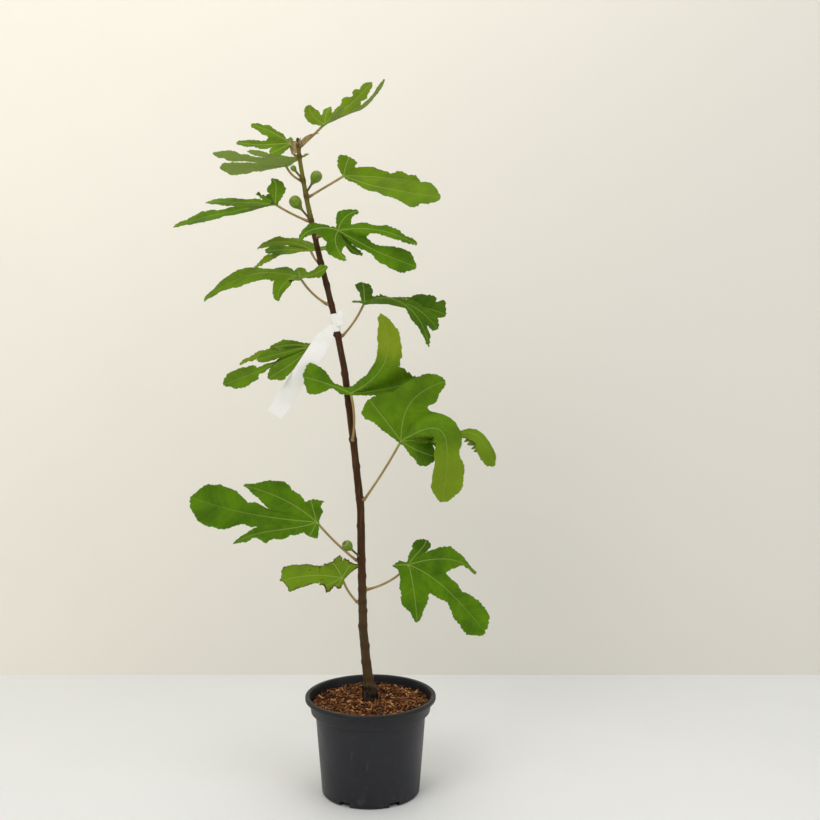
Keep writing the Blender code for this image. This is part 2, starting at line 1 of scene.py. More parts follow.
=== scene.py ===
"""Young fig tree in a nursery pot: the finished pieces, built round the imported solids."""

import math
import random
from collections import namedtuple

import bmesh
import bpy
import numpy as np
from bpy.props import FloatProperty, FloatVectorProperty, IntProperty, PointerProperty
from mathutils import Matrix, Vector, noise


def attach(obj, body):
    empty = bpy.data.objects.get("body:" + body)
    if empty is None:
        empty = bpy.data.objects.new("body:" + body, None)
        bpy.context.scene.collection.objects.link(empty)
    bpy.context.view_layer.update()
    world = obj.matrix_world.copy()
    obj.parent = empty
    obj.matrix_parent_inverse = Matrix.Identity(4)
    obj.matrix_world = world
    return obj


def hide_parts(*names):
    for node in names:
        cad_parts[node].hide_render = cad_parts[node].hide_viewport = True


bl_info = {
    "name": "Potted Fig Tree",
    "version": (1, 0, 0),
    "blender": (4, 5, 0),
    "location": "3D View > Sidebar > Fig Tree",
    "description": "Builds a young potted fig tree round its packed solids",
    "category": "Add Mesh",
}

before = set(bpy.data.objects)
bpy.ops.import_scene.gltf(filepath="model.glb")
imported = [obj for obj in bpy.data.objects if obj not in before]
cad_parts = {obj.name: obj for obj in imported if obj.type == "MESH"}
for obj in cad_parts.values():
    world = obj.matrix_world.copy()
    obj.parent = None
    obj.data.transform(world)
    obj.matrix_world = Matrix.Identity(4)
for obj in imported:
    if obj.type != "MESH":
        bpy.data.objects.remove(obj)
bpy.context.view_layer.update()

# A heading of 0 is straight up as seen from the front, 90 is to the right, 180 down and 270 to the left.
# "toward" is how far a point comes forward. X runs to the right, Y to the back and Z up, and sizes that
# aren't settings are in millimetres.
MM = 0.001

# Pot: the outer wall from the foot to the lip, and the inner one
POT_FOOT_RADIUS = 68.9
POT_BODY_RADIUS = 78.5
POT_BODY_TOP = 117.0
BAND_BOTTOM = 119.0
BAND_BOTTOM_RADIUS = 85.0
BAND_TOP_RADIUS = 87.5
POT_HEIGHT = 141.5
LIP_HEIGHT = 6.0
LIP_RADIUS = 93.2
FOOT_CHAMFER = 2.0
POT_BASE = 2.4
NOTCHES = 6
NOTCH_SIZE = (14.0, 15.6, 14.0)
NOTCH_FIRST_DEGREES = 30.0
NUB_HEIGHT = 37.0
NUB_SIZE = (3.4, 3.0, 8.6)

# Compost and the bark chips on it
COMPOST_EDGE = 127.6
COMPOST_CROWN = 130.8
COMPOST_RADIUS = 82.9
COMPOST_LUMP = 1.6
CHIP_FIELD = 81.5
CHIP_HOLE = 8.5
CHIP_LAYER = 3.6
CHIP_BATCH = 80

# Trunk: height above the floor, place to the right of the pot's middle, and diameter
TRUNK_COURSE = (
    (132.8, -1.0, 24.0), (137.0, -1.0, 20.0), (150.0, -2.0, 15.0), (191.0, -6.4, 13.0),
    (235.0, -10.5, 12.4), (322.0, -12.3, 11.4), (408.0, -13.4, 10.8), (507.0, -23.4, 10.0),
    (560.0, -30.0, 9.6), (605.0, -35.0, 9.2), (689.0, -50.8, 8.4), (771.0, -70.6, 7.8),
    (840.0, -85.4, 6.4), (894.0, -94.4, 5.4), (916.0, -96.4, 4.8),
)
TRUNK_SWAY = 7.0
TRUNK_SWAY_BENDS = 1.5
TRUNK_RING = 2.0
TRUNK_SEGMENTS = 26
BUD_TIP = (-97.0, 923.0, 1.6)
BUD_STEPS = 8
ROOT_LOBES = 5
# Old leaf scars on the bare stem: height and heading
SCARS = ((166, 60), (188, 250), (212, 110), (240, 330), (262, 80), (312, 130), (384, 250), (470, 60), (556, 110),
         (600, 300), (724, 60))

# Leaves
PETIOLE_HOLD = 0.36
PETIOLE_COLLAR = 3.0
PETIOLE_STEPS = 22
PETIOLE_SEGMENTS = 10
RIB_STEPS = 24
RIB_SEGMENTS = 7
ROLL_SHARE = 0.6
BLEND_SHARPNESS = 4.0
BEYOND_WEIGHT = 2.0
NEAREST = 0.02
FLAT_CLEARANCE = 2.0
HEART_SET = 3.0
WAIST_PAST_CLEFT = 0.1
NECK_OF_BELLY = 0.5
SHOULDER_OF_BELLY = 0.82
SHOULDER_WIDTH = 0.9
CHEEK_EXTRA_WIDTH = 0.2
TIP_START = 0.97
TIP_WIDTH = 0.5
SINUS_LIMIT = 0.9
RIM_STEP = 1.6
RIM_ROUNDS = 7
GRID = 1.9
MARGIN_REACH = 20.0
TONE_START = 0.38
TONE_REACH = 0.3
SINUS_SHARE = 0.45
VEIN_SLANT = 0.55
VEIN_CURVE = 0.006

# A lobe's rib leaves the leaf's heart on the heading "start" and ends at heading, reach and toward from the
# heart, where it arrives on the heading "finish". Width is at its belly and waist is nearer the heart. Roll
# turns the blade about the rib in degrees, blunt is how wide the tip is, and hold is how stiffly the rib keeps
# its headings. Cleft is the share of its length that stays joined to its neighbours, if not the leaf's own.
# Tone is how far the lobe's green goes to yellow, or below 0 to a darker green that is painted shade. A nick is a dent
# in the margin,
# or a bulge if its depth is below 0: the share of the rib's length where it is, the side it is on (1 or -1), its
# depth and how far it spreads.
Lobe = namedtuple(
    "Lobe",
    "start heading reach toward width waist roll finish belly blunt hold cleft tone nicks",
    defaults=(0.0, None, 0.68, 0.45, 0.36, None, 0.0, ()),
)
Petiole = namedtuple("Petiole", "start heading reach toward")
# A leaf grows from a height on the trunk. The heading and tilt give the way that its upper side faces. Tone is
# the whole leaf's, and below 0 it is painted shade; wilt is how much of its margin has gone brown.
Leaf = namedtuple("Leaf", "height petiole facing tilt cleft tone wilt lobes")

LEAVES = {
    "leaf_01": Leaf(912, Petiole(50, 52, 46, 6), 323, 45, 0.42, 0.45, 0.0, (
        Lobe(69, 53, 102, -8, 11, 11, -68, 22, 0.8, 0.9),
        Lobe(52, 46, 89, -34, 25, 18, 30, nicks=((0.5, 1, -3, 5), (0.62, 1, 5, 5), (0.8, 1, 2, 4), (0.66, -1, 4, 5))),
        Lobe(5, 22, 28, -16, 13, 12, 20, 60, 0.6, 0.3),
        Lobe(290, 322, 33, 0, 32, 28, 10, 10, 0.5, 0.5, 0.36, None, 0.2),
        Lobe(72, 60, 34, 42, 14, 12, -40),
    )),
    "leaf_02": Leaf(898, Petiole(310, 327, 22, -5), 0, 60, 0.45, 0.25, 0.0, (
        Lobe(298, 294, 62, -14, 18, 15, 0, 275, nicks=((0.75, -1, 3, 4),)),
        Lobe(264, 270, 75, 0, 14, 13, nicks=((0.7, 1, 2, 4),)),
        Lobe(236, 242, 34, 8, 20, 18),
        Lobe(335, 333, 8, -8, 10, 9),
    )),
    "leaf_03": Leaf(866, Petiole(295, 310, 33, -20), 355, -30, 0.38, 0.9, 0.0, (
        Lobe(277, 278, 98, 30, 24, 15, 0, None, 0.8, 0.6, nicks=((0.84, -1, 4, 5), (0.62, 1, 3, 5))),
        Lobe(265, 269, 95, -20, 30, 20, 0, None, 0.8, 0.8, nicks=((0.94, -1, 4, 4), (0.82, 1, 2, 4))),
        Lobe(300, 287, 52, 40, 14, 10),
        Lobe(62, 63, 38, 6, 8, 8),
    )),
    "leaf_04": Leaf(811, Petiole(292, 294, 53, 5), 348, 45, 0.4, 0.1, 0.0, (
        Lobe(264, 257.5, 144, 0, 27, 18, 10, nicks=((0.55, -1, 4, 6), (0.72, -1, -2, 5), (0.86, -1, 3, 5))),
        Lobe(277, 272.5, 104, -34, 26, 20, 20, nicks=((0.75, -1, 2, 5), (0.88, -1, -2, 4))),
        Lobe(305, 299, 34, -24, 12, 11, 30, None, 0.6, 0.2),
        Lobe(352, 348, 36, -14, 26, 28, 20, 280, 0.6, 0.3),
        Lobe(266, 262, 50, 50, 14, 12, 30, None, 0.68, 0.3),
        Lobe(330, 350, 12, 16, 12, 12, -60),
    )),
    "leaf_05": Leaf(844, Petiole(60, 63, 59, 8), 12, 60, 0.5, 0.28, 0.0, (
        Lobe(90, 94, 107, -18, 26, 18, nicks=((0.9, 1, -3, 5),)),
        Lobe(113, 103, 135, 24, 46, 30, 0, 98, 0.72, 0.6,
             nicks=((0.74, 1, 4, 5), (0.66, 1, -3, 5), (0.86, 1, -3, 7), (0.84, -1, 4, 5), (0.96, -1, -2, 4))),
        Lobe(0, 15, 28, -8, 28, 26, 0, 25, 0.7, 0.9, nicks=((0.55, -1, 3, 5),)),
    )),
    "leaf_06": Leaf(789, Petiole(85, 78, 35, 25), 5, 68, 0.34, 0.0, 0.0, (
        Lobe(292, 254, 55, 2, 15, 13, 0, 200, nicks=((0.6, 1, 2, 4),)),
        Lobe(2, 48, 38, -4, 24, 22, 0, 98, 0.5, 0.2),
        Lobe(80, 101, 108, 10, 15, 12, 0, None, 0.68, 0.5, nicks=((0.6, 1, -1.5, 6),)),
        Lobe(122, 115, 116, 4, 33, 13, 0, 110, 0.8, 0.75, nicks=((0.66, -1, 3, 5),)),
        Lobe(225, 164, 43, 8, 31, 30, 0, 125, 0.5, 0.15, 0.36, None, 0.12, ((0.72, 1, 3, 4),)),
        Lobe(160, 137, 46, -12, 14, 11, 0, None, 0.68, 0.4),
    )),
    "leaf_07": Leaf(754, Petiole(312, 318, 23, -20), 350, 25, 0.35, 0.45, 0.0, (
        Lobe(306, 271, 78, -22, 18, 14, -10, nicks=((0.6, -1, -2, 5), (0.8, -1, 2, 4))),
        Lobe(274, 268, 63, 18, 27, 22, -15, None, 0.68, 0.6, 0.36, None, -0.5, ((0.8, 1, 3, 4),)),
        Lobe(274, 251, 90, -2, 10, 8, -45, None, 0.68, 0.2, 0.36, None, 0.4),
        Lobe(82, 82, 30, -6, 16, 12),
    )),
    "leaf_08": Leaf(697, Petiole(302, 311, 56, 12), 350, 32, 0.4, 0.2, 0.0, (
        Lobe(288, 255, 137, 0, 36, 32, -4, None, 0.6, 0.3, nicks=((0.42, 1, -3, 11), (0.5, -1, -2, 6), (0.78, 1, 2, 6))),
        Lobe(300, 218, 40, 30, 34, 30, 15, None, 0.5, 0.5),
        Lobe(85, 70, 43, 10, 22, 14, 20),
        Lobe(290, 280, 50, -50, 28, 22),
        Lobe(240, 252, 14, 24, 16, 14),
        Lobe(340, 335, 14, -28, 20, 18),
    )),
    "leaf_09": Leaf(653, Petiole(43, 39, 60, 6), 8, 12, 0.4, -0.5, 0.0, (
        Lobe(86, 99, 115, -4, 38, 14, 60, None, 0.8, 0.65,
             nicks=((0.84, 1, 7, 3.5), (0.91, 1, -3, 3), (0.93, -1, 4, 4), (0.72, 1, 3, 4))),
        Lobe(64, 125, 108, 26, 15, 8, 40, 172, 0.68, 0.45, 0.45),
        Lobe(72, 111, 108, 12, 28, 12, 50, None, 0.75, 0.7, nicks=((0.9, -1, 3, 3),)),
        Lobe(350, 352, 27, -22, 24, 16, 0, 340, 0.7, 0.8, 0.36, 0.25, nicks=((0.9, 1, -3, 4), (0.7, -1, 2, 4))),
        Lobe(272, 270, 18, 12, 12, 10),
        Lobe(78, 87, 77, -44, 12, 10),
    )),
    "leaf_10": Leaf(655, Petiole(290, 243, 40, -14), 350, 45, 0.48, 0.15, 0.0, (
        Lobe(280, 267, 64, -18, 22, 16),
        Lobe(272, 256, 110, -26, 10, 9, -30, None, 0.6, 0.6, 0.36, None, 0.6),
        Lobe(262, 257, 83, 4, 24, 18, nicks=((0.9, 1, -2, 4), (0.8, -1, -2, 4))),
        Lobe(245, 247, 135, 22, 31, 10, -8, None, 0.76, 0.85, 0.36, 0.52, nicks=((0.95, 1, 3, 4), (0.85, 1, 2, 4))),
        Lobe(230, 234, 74, 32, 26, 26, -8, None, 0.7, 0.7, 0.36, 0.66, nicks=((0.8, 1, -3, 4),)),
    )),
    "leaf_11": Leaf(507, Petiole(10, 358, 67, 20), 0, 55, 0.4, 0.05, 0.0, (
        Lobe(296, 290, 67, 14, 46, 9, 0, None, 0.82, 0.8, 0.36, 0.1, 0.0, ((0.95, -1, -4, 6),)),
        Lobe(66, 21, 120, 4, 42, 38, 0, None, 0.66, 0.5, 0.45, 0.64, 0.9, ((0.66, -1, -4, 10), (0.5, -1, -4, 9))),
        Lobe(88, 80, 96, -16, 30, 28, 0, None, 0.68, 0.7, 0.36, 0.62, nicks=((0.6, 1, -4, 9),)),
    )),
    "leaf_12": Leaf(422, Petiole(34, 34, 105, 36), 0, 60, 0.54, 0.1, 0.0, (
        Lobe(323, 323, 73, 0, 47, 42, 0, None, 0.72, 0.8, 0.36, 0.72, nicks=((0.75, 1, -1.5, 4),)),
        Lobe(0, 37, 105, 0, 48, 42, 0, 72, 0.66, 0.5, 0.46, 0.7, nicks=((0.62, -1, 6, 9),)),
        Lobe(58, 146, 101, 12, 55, 38, 0, 188, 0.78, 0.7, 0.85, 0.46, 0.5,
             ((0.74, -1, -9, 5), (0.84, -1, 3, 4), (0.6, -1, 3, 8), (0.6, 1, 3, 9))),
        Lobe(89, 107, 134, -14, 36, 12, 0, 168, 0.82, 0.75, 0.62, 0.46, 0.3, ((0.68, -1, 4, 9),)),
        Lobe(125, 115, 52, -4, 38, 30, 0, None, 0.68, 0.75, 0.36, None, -0.5, ((0.7, -1, -2, 5),)),
    )),
    "leaf_13": Leaf(335, Petiole(310, 312, 84, 10), 0, 78, 0.45, -0.1, 0.0, (
        Lobe(274, 281, 183, -6, 64, 30, 0, 290, 0.8, 0.6, nicks=((0.78, -1, 2, 12), (0.5, 1, -2, 8))),
        Lobe(312, 296, 118, -8, 42, 44, 0, 284, 0.6, 0.25, nicks=((0.72, -1, -2, 9),)),
        Lobe(344, 345, 33, -4, 32, 32, 0, None, 0.6, 0.8, 0.36, 0.7, nicks=((0.6, -1, 2, 4),)),
        Lobe(250, 255.5, 122, 8, 24, 25, 0, 235, 0.6, 0.3, nicks=((0.62, 1, -3, 5), (0.75, 1, 3, 5))),
        Lobe(205, 208, 23, 4, 26, 22, 0, None, 0.7, 0.8, 0.36, 0.6),
    )),
    "leaf_14": Leaf(275, Petiole(318, 322, 46, 8), 350, 50, 0.8, 0.35, 1.0, (
        Lobe(280, 267, 88, 5, 42, 42, 0, 250, 0.5, 0.4, 0.36, 0.8, nicks=((0.97, 1, 4, 5),)),
        Lobe(32, 34, 24, -10, 28, 26, 0, None, 0.6, 0.9, 0.36, 0.95),
        Lobe(330, 320, 24, -20, 34, 32, 0, None, 0.5, 0.95, 0.36, 0.98),
        Lobe(248, 252, 26, 18, 22, 22, 0, None, 0.5, 0.95, 0.36, 0.98),
        Lobe(206, 225, 13, 14, 16, 14, 0, None, 0.6, 0.9, 0.36, 0.95),
    )),
    "leaf_15": Leaf(293, Petiole(74, 60, 77, 15), 8, 75, 0.45, 0.0, 0.0, (
        Lobe(168, 172, 82, 8, 42, 38, 0, None, 0.62, 0.25),
        Lobe(112, 131, 142, 10, 44, 26, 0, 138, 0.82, 0.85, nicks=((0.98, -1, -3, 5), (0.9, 1, 2, 5))),
        Lobe(70, 99, 95, 0, 36, 34, 0, 150, 0.55, 0.12, nicks=((0.78, -1, 3, 8),)),
        Lobe(20, 35, 43, -8, 26, 24, 0, 10, 0.7, 0.8, 0.36, None, -0.6, ((0.75, -1, 4, 4),)),
        Lobe(270, 270, 26, 2, 13, 13, 0, None, 0.6, 0.15),
    )),
}

# Figs: height of the node on the trunk, then heading, reach and toward of the fig's far end, and its diameter
Fig = namedtuple("Fig", "height heading reach toward diameter")
FIGS = {
    "fig_01": Fig(850, 38, 33, 12, 16.0),
    "fig_02": Fig(815, 317, 38, 6, 17.0),
    "fig_03": Fig(869, 316, 22, 2, 8.0),
    "fig_04": Fig(341, 316, 33, 26, 15.0),
}
FIG_STALK_SHARE = 0.42
FIG_STALK_DIAMETER = 3.0
FIG_BODY_SHARE = 1.15
FIG_SEGMENTS = 36
FIG_ROWS = 40
# The fig's body from its eye to its neck: shares of its radius, and of its length from the stalk
FIG_BODY = ((0.0, 1.0), (0.45, 0.96), (0.85, 0.8), (1.0, 0.55), (0.85, 0.28), (0.45, 0.08))

# Label
LABEL_HEIGHT = 671.5
LABEL_RING_RADIUS = 5.5
LABEL_RING_TALL = 25.0
LABEL_NECK = 9.0
LABEL_WIDTH = 24.0
LABEL_LENGTH = 149.0
LABEL_START = 5.0
LABEL_NECK_LENGTH = 26.0
LABEL_HEADING = 213.5
LABEL_BULGE = 4.0
LABEL_SEGMENTS = 48

# Papery scales round the bud: heading, toward, length, width and curl
SCALES = ((52, 5, 36, 6, 25), (305, 3, 18, 11, -20), (235, 3, 11, 9, 20), (10, 4, 17, 5, 10))
SCALE_HEIGHT = 906.0

# Camera and stage, in metres
CAMERA_PLACE = (0.0563, -1.691, 0.708)
CAMERA_PITCH = 5.36
CAMERA_LENS = 53.34
FLOOR_SIZE = 6.0
WALL_PLACE = 0.533


def unit(vector):
    """The vector scaled to a length of one."""
    return vector / np.linalg.norm(vector)


def rows_unit(rows):
    """Each row scaled to a length of one."""
    return rows / np.maximum(np.linalg.norm(rows, axis=1), 1e-9)[:, None]


def place(heading, reach, toward=0.0):
    """The offset in millimetres of a point at a heading and reach in the front view."""
    angle = math.radians(heading)
    return np.array((reach * math.sin(angle), -toward, reach * math.cos(angle)))


def smooth_step(value):
    """A value that eases from 0 to 1."""
    held = np.clip(value, 0.0, 1.0)
    return held * held * (3.0 - 2.0 * held)


def wrapped(angle):
    """An angle brought between minus and plus half a turn."""
    return (angle + math.pi) % (2.0 * math.pi) - math.pi


def trunk_point(height):
    """The middle of the trunk at a height, in millimetres."""
    heights, places, _ = zip(*TRUNK_COURSE)
    share = (height - heights[0]) / (heights[-1] - heights[0])
    back = TRUNK_SWAY * math.sin(math.pi * TRUNK_SWAY_BENDS * share)
    return np.array((np.interp(height, heights, places), back, height))


def trunk_radius(height):
    """The trunk's radius at a height, in millimetres."""
    heights, _, diameters = zip(*TRUNK_COURSE)
    return float(np.interp(height, heights, diameters)) / 2.0


def bent_course(start, heading, reach, toward, finish, hold, steps):
    """Points of a curve that leaves its root on one heading and arrives at its tip on another."""
    if finish is None:
        finish = 2.0 * heading - start
    chord = place(heading, reach, toward)
    first = place(start, reach * hold, toward / 3.0)
    last = chord - place(finish, reach * hold, toward / 3.0)
    share = np.linspace(0.0, 1.0, steps + 1)[:, None]
    rest = 1.0 - share
    return 3.0 * rest ** 2 * share * first + 3.0 * rest * share ** 2 * last + share ** 3 * chord


class Rib:
    """The main vein of one lobe: its course in space and the direction across the blade along it."""

    def __init__(self, lobe, upward):
        self.lobe = lobe
        self.points = bent_course(lobe.start, lobe.heading, lobe.reach, lobe.toward, lobe.finish, lobe.hold,
                                  RIB_STEPS)
        steps = np.diff(self.points, axis=0)
        self.along = np.concatenate(((0.0,), np.cumsum(np.linalg.norm(steps, axis=1))))
        self.length = self.along[-1]
        self.tangents = rows_unit(np.gradient(self.points, self.along, axis=0))
        side = unit(np.cross(upward, self.tangents[0]))
        sides = []
        for tangent, run in zip(self.tangents, self.along):
            side = unit(side - side.dot(tangent) * tangent)
            roll = math.radians(lobe.roll) * float(smooth_step(run / self.length / ROLL_SHARE))
            sides.append(side * math.cos(roll) + np.cross(tangent, side) * math.sin(roll))
        self.sides = np.array(sides)

    def carry(self, runs, offsets):
        """Where points of the flat blade lie in space: run along this rib and offset across it."""
        held = np.clip(runs, 0.0, self.length)

        def read(rows):
            return np.stack([np.interp(held, self.along, rows[:, axis]) for axis in range(3)], axis=1)

        beyond = read(self.tangents) * (runs - held)[:, None]
        return read(self.points) + beyond + read(self.sides) * offsets[:, None]


class Blade:
    """A lobed blade: flat outline and the way it is bent, both worked out from its lobes."""

    def __init__(self, leaf, seed, look):
        facing = place(leaf.facing, 1.0)
        tilt = math.radians(leaf.tilt)
        self.leaf = leaf
        self.look = look
        self.drift = Vector((seed * 7.3, seed * 3.1, seed * 1.7))
        self.upward = unit(facing * math.cos(tilt) + np.array((0.0, -1.0, 0.0)) * math.sin(tilt))
        ribs = [Rib(lobe, self.upward) for lobe in leaf.lobes]
        main = max(ribs, key=lambda rib: rib.length)
        ahead = unit(main.tangents[0] - main.tangents[0].dot(self.upward) * self.upward)
        across = np.cross(self.upward, ahead)
        for rib in ribs:
            rib.angle = math.atan2(rib.tangents[0].dot(across), rib.tangents[0].dot(ahead))
        self.ribs = sorted(ribs, key=lambda rib: rib.angle)
        self.spread(self.ribs.index(main))

    def spread(self, middle):
        """Turn the lobes apart in the flat pattern, outward from the main one, until their sides clear."""
        flare = [max(math.atan2(width, run) for run, width in self.half_widths(rib)) for rib in self.ribs]
        for step in (1, -1):
            index = middle
            while 0 <= index + step < len(self.ribs):
                need = flare[index] + flare[index + step] + math.radians(FLAT_CLEARANCE)
                between = step * (self.ribs[index + step].angle - self.ribs[index].angle)
                self.ribs[index + step].angle += step * max(need - between, 0.0)
                index += step

    def cleft(self, rib):
        """The share of a lobe's length that stays joined to its neighbours."""
        return self.leaf.cleft if rib.lobe.cleft is None else rib.lobe.cleft

    def half_widths(self, rib):
        """The lobe's outline on one side of its rib: pairs of run along the rib and half width."""
        lobe = rib.lobe
        begin = self.cleft(rib) + WAIST_PAST_CLEFT
        steps = (
            (begin, lobe.waist),
            (lobe.belly * NECK_OF_BELLY, lobe.waist),
            (lobe.belly * SHOULDER_OF_BELLY, lobe.width * SHOULDER_WIDTH),
            (lobe.belly, lobe.width),
            ((lobe.belly + 1.0) / 2.0, lobe.width * (lobe.blunt + CHEEK_EXTRA_WIDTH)),
            (TIP_START, lobe.width * lobe.blunt * TIP_WIDTH),
        )
        return [(share * rib.length, width / 2.0) for share, width in steps if share >= begin]

    def outline(self):
        """The flat outline: each lobe's waist, belly, shoulder and tip, with a sinus between the lobes."""
        points = []
        ribs = self.ribs
        for rib, following in zip(ribs, ribs[1:] + [None]):
            half = self.half_widths(rib)
            direction = np.array((math.cos(rib.angle), math.sin(rib.angle)))
            normal = np.array((-direction[1], direction[0]))
            lower = [direction * run - normal * width for run, width in half]
            upper = [direction * run + normal * width for run, width in reversed(half)]
            points += lower + [direction * rib.length] + upper
            if following is not None:
                middle = (rib.angle + following.angle) / 2.0
                depth = min(self.cleft(rib), self.cleft(following)) * math.sqrt(rib.length * following.length)
                depth = min(depth, SINUS_LIMIT * rib.length, SINUS_LIMIT * following.length)
                points.append(depth * np.array((math.cos(middle), math.sin(middle))))
        back = (ribs[0].angle + ribs[-1].angle) / 2.0 + math.pi
        points.append(HEART_SET * np.array((math.cos(back), math.sin(back))))
        return points

    def along_rib(self, rib, flat):
        """How far flat points lie along a rib and across it."""
        ahead, aside = math.cos(rib.angle), math.sin(rib.angle)
        return flat[:, 0] * ahead + flat[:, 1] * aside, flat[:, 1] * ahead - flat[:, 0] * aside

    def shares(self, flat):
        """How much of each flat point follows each rib, by nearness in that lobe's own widths."""
        nearness = []
        for rib in self.ribs:
            runs, offsets = self.along_rib(rib, flat)
            along, widths = zip(*self.half_widths(rib))
            widths = np.interp(runs, along, widths)
            beyond = np.maximum(runs - rib.length, 0.0) + np.maximum(-runs, 0.0)
            away = (np.abs(offsets) + BEYOND_WEIGHT * beyond) / widths + NEAREST
            nearness.append(away ** -BLEND_SHARPNESS)
        return np.array(nearness) / sum(nearness)

    def bend(self, flat):
        """Carry flat points into space."""
        carried = [rib.carry(*self.along_rib(rib, flat)) for rib in self.ribs]
        return sum(where * share[:, None] for where, share in zip(carried, self.shares(flat)))

    def owners(self, flat):
        """The lobe whose sector of the flat blade each point lies in."""
        angles = np.arctan2(flat[:, 1], flat[:, 0])
        return np.argmin([np.abs(wrapped(angles - rib.angle)) for rib in self.ribs], axis=0)

    def tones(self, flat):
        """How far each point's green goes to yellow: it sets in along the lobes."""
        grown = [rib.lobe.tone * smooth_step((self.along_rib(rib, flat)[0] / rib.length - TONE_START) / TONE_REACH)
                 for rib in self.ribs]
        return (np.array(grown) * self.shares(flat)).sum(axis=0)

    def nicks(self, flat):
        """How far the margin stands back at each point because of the lobes' nicks."""
        back = np.zeros(len(flat))
        owners = self.owners(flat)
        for index, rib in enumerate(self.ribs):
            runs, offsets = self.along_rib(rib, flat)
            for share, side, depth, spread in rib.lobe.nicks:
                near = np.exp(-((runs - share * rib.length) / spread) ** 2)
                back += depth * near * (owners == index) * (offsets * side > 0.0)
        return back

    def phase(self, runs, offsets):
        """Which side vein a point lies on: whole numbers are on a vein."""
        away = np.abs(offsets)
        return (runs - VEIN_SLANT * away - VEIN_CURVE * away ** 2) / self.look.vein_spacing + 0.5 * (offsets > 0.0)

    def relief(self, flat):
        """How high the surface stands: puckered between the veins, and gently waved."""
        height = np.zeros(len(flat))
        owners = self.owners(flat)
        for index, rib in enumerate(self.ribs):
            own = owners == index
            runs, offsets = self.along_rib(rib, flat[own])
            away = np.abs(offsets)
            puffed = np.sqrt(np.abs(np.sin(math.pi * self.phase(runs, offsets))) + 0.02)
            height[own] = self.look.pucker * (1.0 - np.exp(-away / 3.5)) * (0.45 + 0.55 * puffed)
        waves = [noise.noise(Vector((x / 38.0, y / 38.0, 0.0)) + self.drift) for x, y in flat]
        return height + self.look.wave * np.array(waves) * smooth_step(np.hypot(*flat.T) / 45.0)

    def surface(self, flat):
        """Places and upward directions of flat points on the finished blade, in millimetres."""
        step = 0.5
        here = self.bend(flat)
        ahead = self.bend(flat + (step, 0.0)) - here
        aside = self.bend(flat + (0.0, step)) - here
        upward = rows_unit(np.cross(ahead, aside))
        return here + upward * self.relief(flat)[:, None], upward


def outward_from_trunk(height, direction, breadth):
    """Where a stalk of a breadth stands just inside the bark, and which way is out from there."""
    out = unit(np.array((direction[0], direction[1], 0.0)))
    rise = trunk_point(height + breadth) - trunk_point(height - breadth)
    lean = abs(rise.dot(out) / rise[2]) * breadth / 2.0
    return trunk_point(height) + out * (trunk_radius(height - breadth) + lean - 0.8), out


def sweep(shape, points, radii, segments, value=None, layer=None, material=0):
    """Add a closed tube along points in millimetres, drawn out ring by ring from a circle."""
    points = [Vector(point) * MM for point in points]
    ring = bmesh.ops.create_circle(shape, radius=1.0, segments=segments)["verts"]
    edges = list({edge for vert in ring for edge in vert.link_edges})
    first = edges
    faces = []
    made = list(ring)
    turn = Vector((0.0, 0.0, 1.0)).rotation_difference(points[1] - points[0]).to_matrix().to_4x4()
    last = Matrix.Identity(4)
    tangent = (points[1] - points[0]).normalized()
    for index, (point, radius) in enumerate(zip(points, radii)):
        if index:
            out = bmesh.ops.extrude_edge_only(shape, edges=edges)["geom"]
            ring = [item for item in out if isinstance(item, bmesh.types.BMVert)]
            edges = [item for item in out if isinstance(item, bmesh.types.BMEdge)]
            faces += [item for item in out if isinstance(item, bmesh.types.BMFace)]
            made += ring
            ahead = points[min(index + 1, len(points) - 1)] - points[index - 1]
            turn = tangent.rotation_difference(ahead).to_matrix().to_4x4() @ turn
            tangent = ahead.normalized()
        new = Matrix.Translation(point) @ turn @ Matrix.Scale(radius * MM, 4)
        bmesh.ops.transform(shape, matrix=new @ last.inverted(), verts=ring)
        last = new
        if layer is not None:
            for vert in ring:
                vert[layer] = value[index]
    for loop in (first, edges):
        faces += bmesh.ops.contextual_create(shape, geom=loop)["faces"]
    for face in faces:
        face.material_index = material
    bmesh.ops.recalc_face_normals(shape, faces=faces)
    return made


def absorb(shape, other):
    """Move another bmesh into this one."""
    mesh = bpy.data.meshes.new("moved")
    other.to_mesh(mesh)
    other.free()
    shape.from_mesh(mesh)
    bpy.data.meshes.remove(mesh)


def finished(name, shape, materials, node, sharp=50.0):
    """Turn a bmesh in metres into a smooth shaded piece that stands for a CAD node."""
    for face in shape.faces:
        face.smooth = True
    for edge in shape.edges:
        edge.smooth = not edge.is_manifold or edge.calc_face_angle() < math.radians(sharp)
    mesh = bpy.data.meshes.new(name)
    shape.to_mesh(mesh)
    shape.free()
    for material in materials:
        mesh.materials.append(material)
    piece = bpy.data.objects.new(name, mesh)
    bpy.context.scene.collection.objects.link(piece)
    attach(piece, "root")
    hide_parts(node)
    return piece


def spun(shape, profile, segments):
    """Spin a profile of (radius, height) in millimetres once round Z."""
    verts = [shape.verts.new((radius * MM, 0.0, height * MM)) for radius, height in profile]
    edges = [shape.edges.new(pair) for pair in zip(verts, verts[1:])]
    bmesh.ops.spin(shape, geom=verts + edges, cent=(0.0, 0.0, 0.0), axis=(0.0, 0.0, 1.0), dvec=(0.0, 0.0, 0.0),
                   angle=2.0 * math.pi, steps=segments, use_merge=True, use_normal_flip=False, use_duplicate=False)
    bmesh.ops.remove_doubles(shape, verts=shape.verts[:], dist=0.01 * MM)
    bmesh.ops.recalc_face_normals(shape, faces=shape.faces[:])


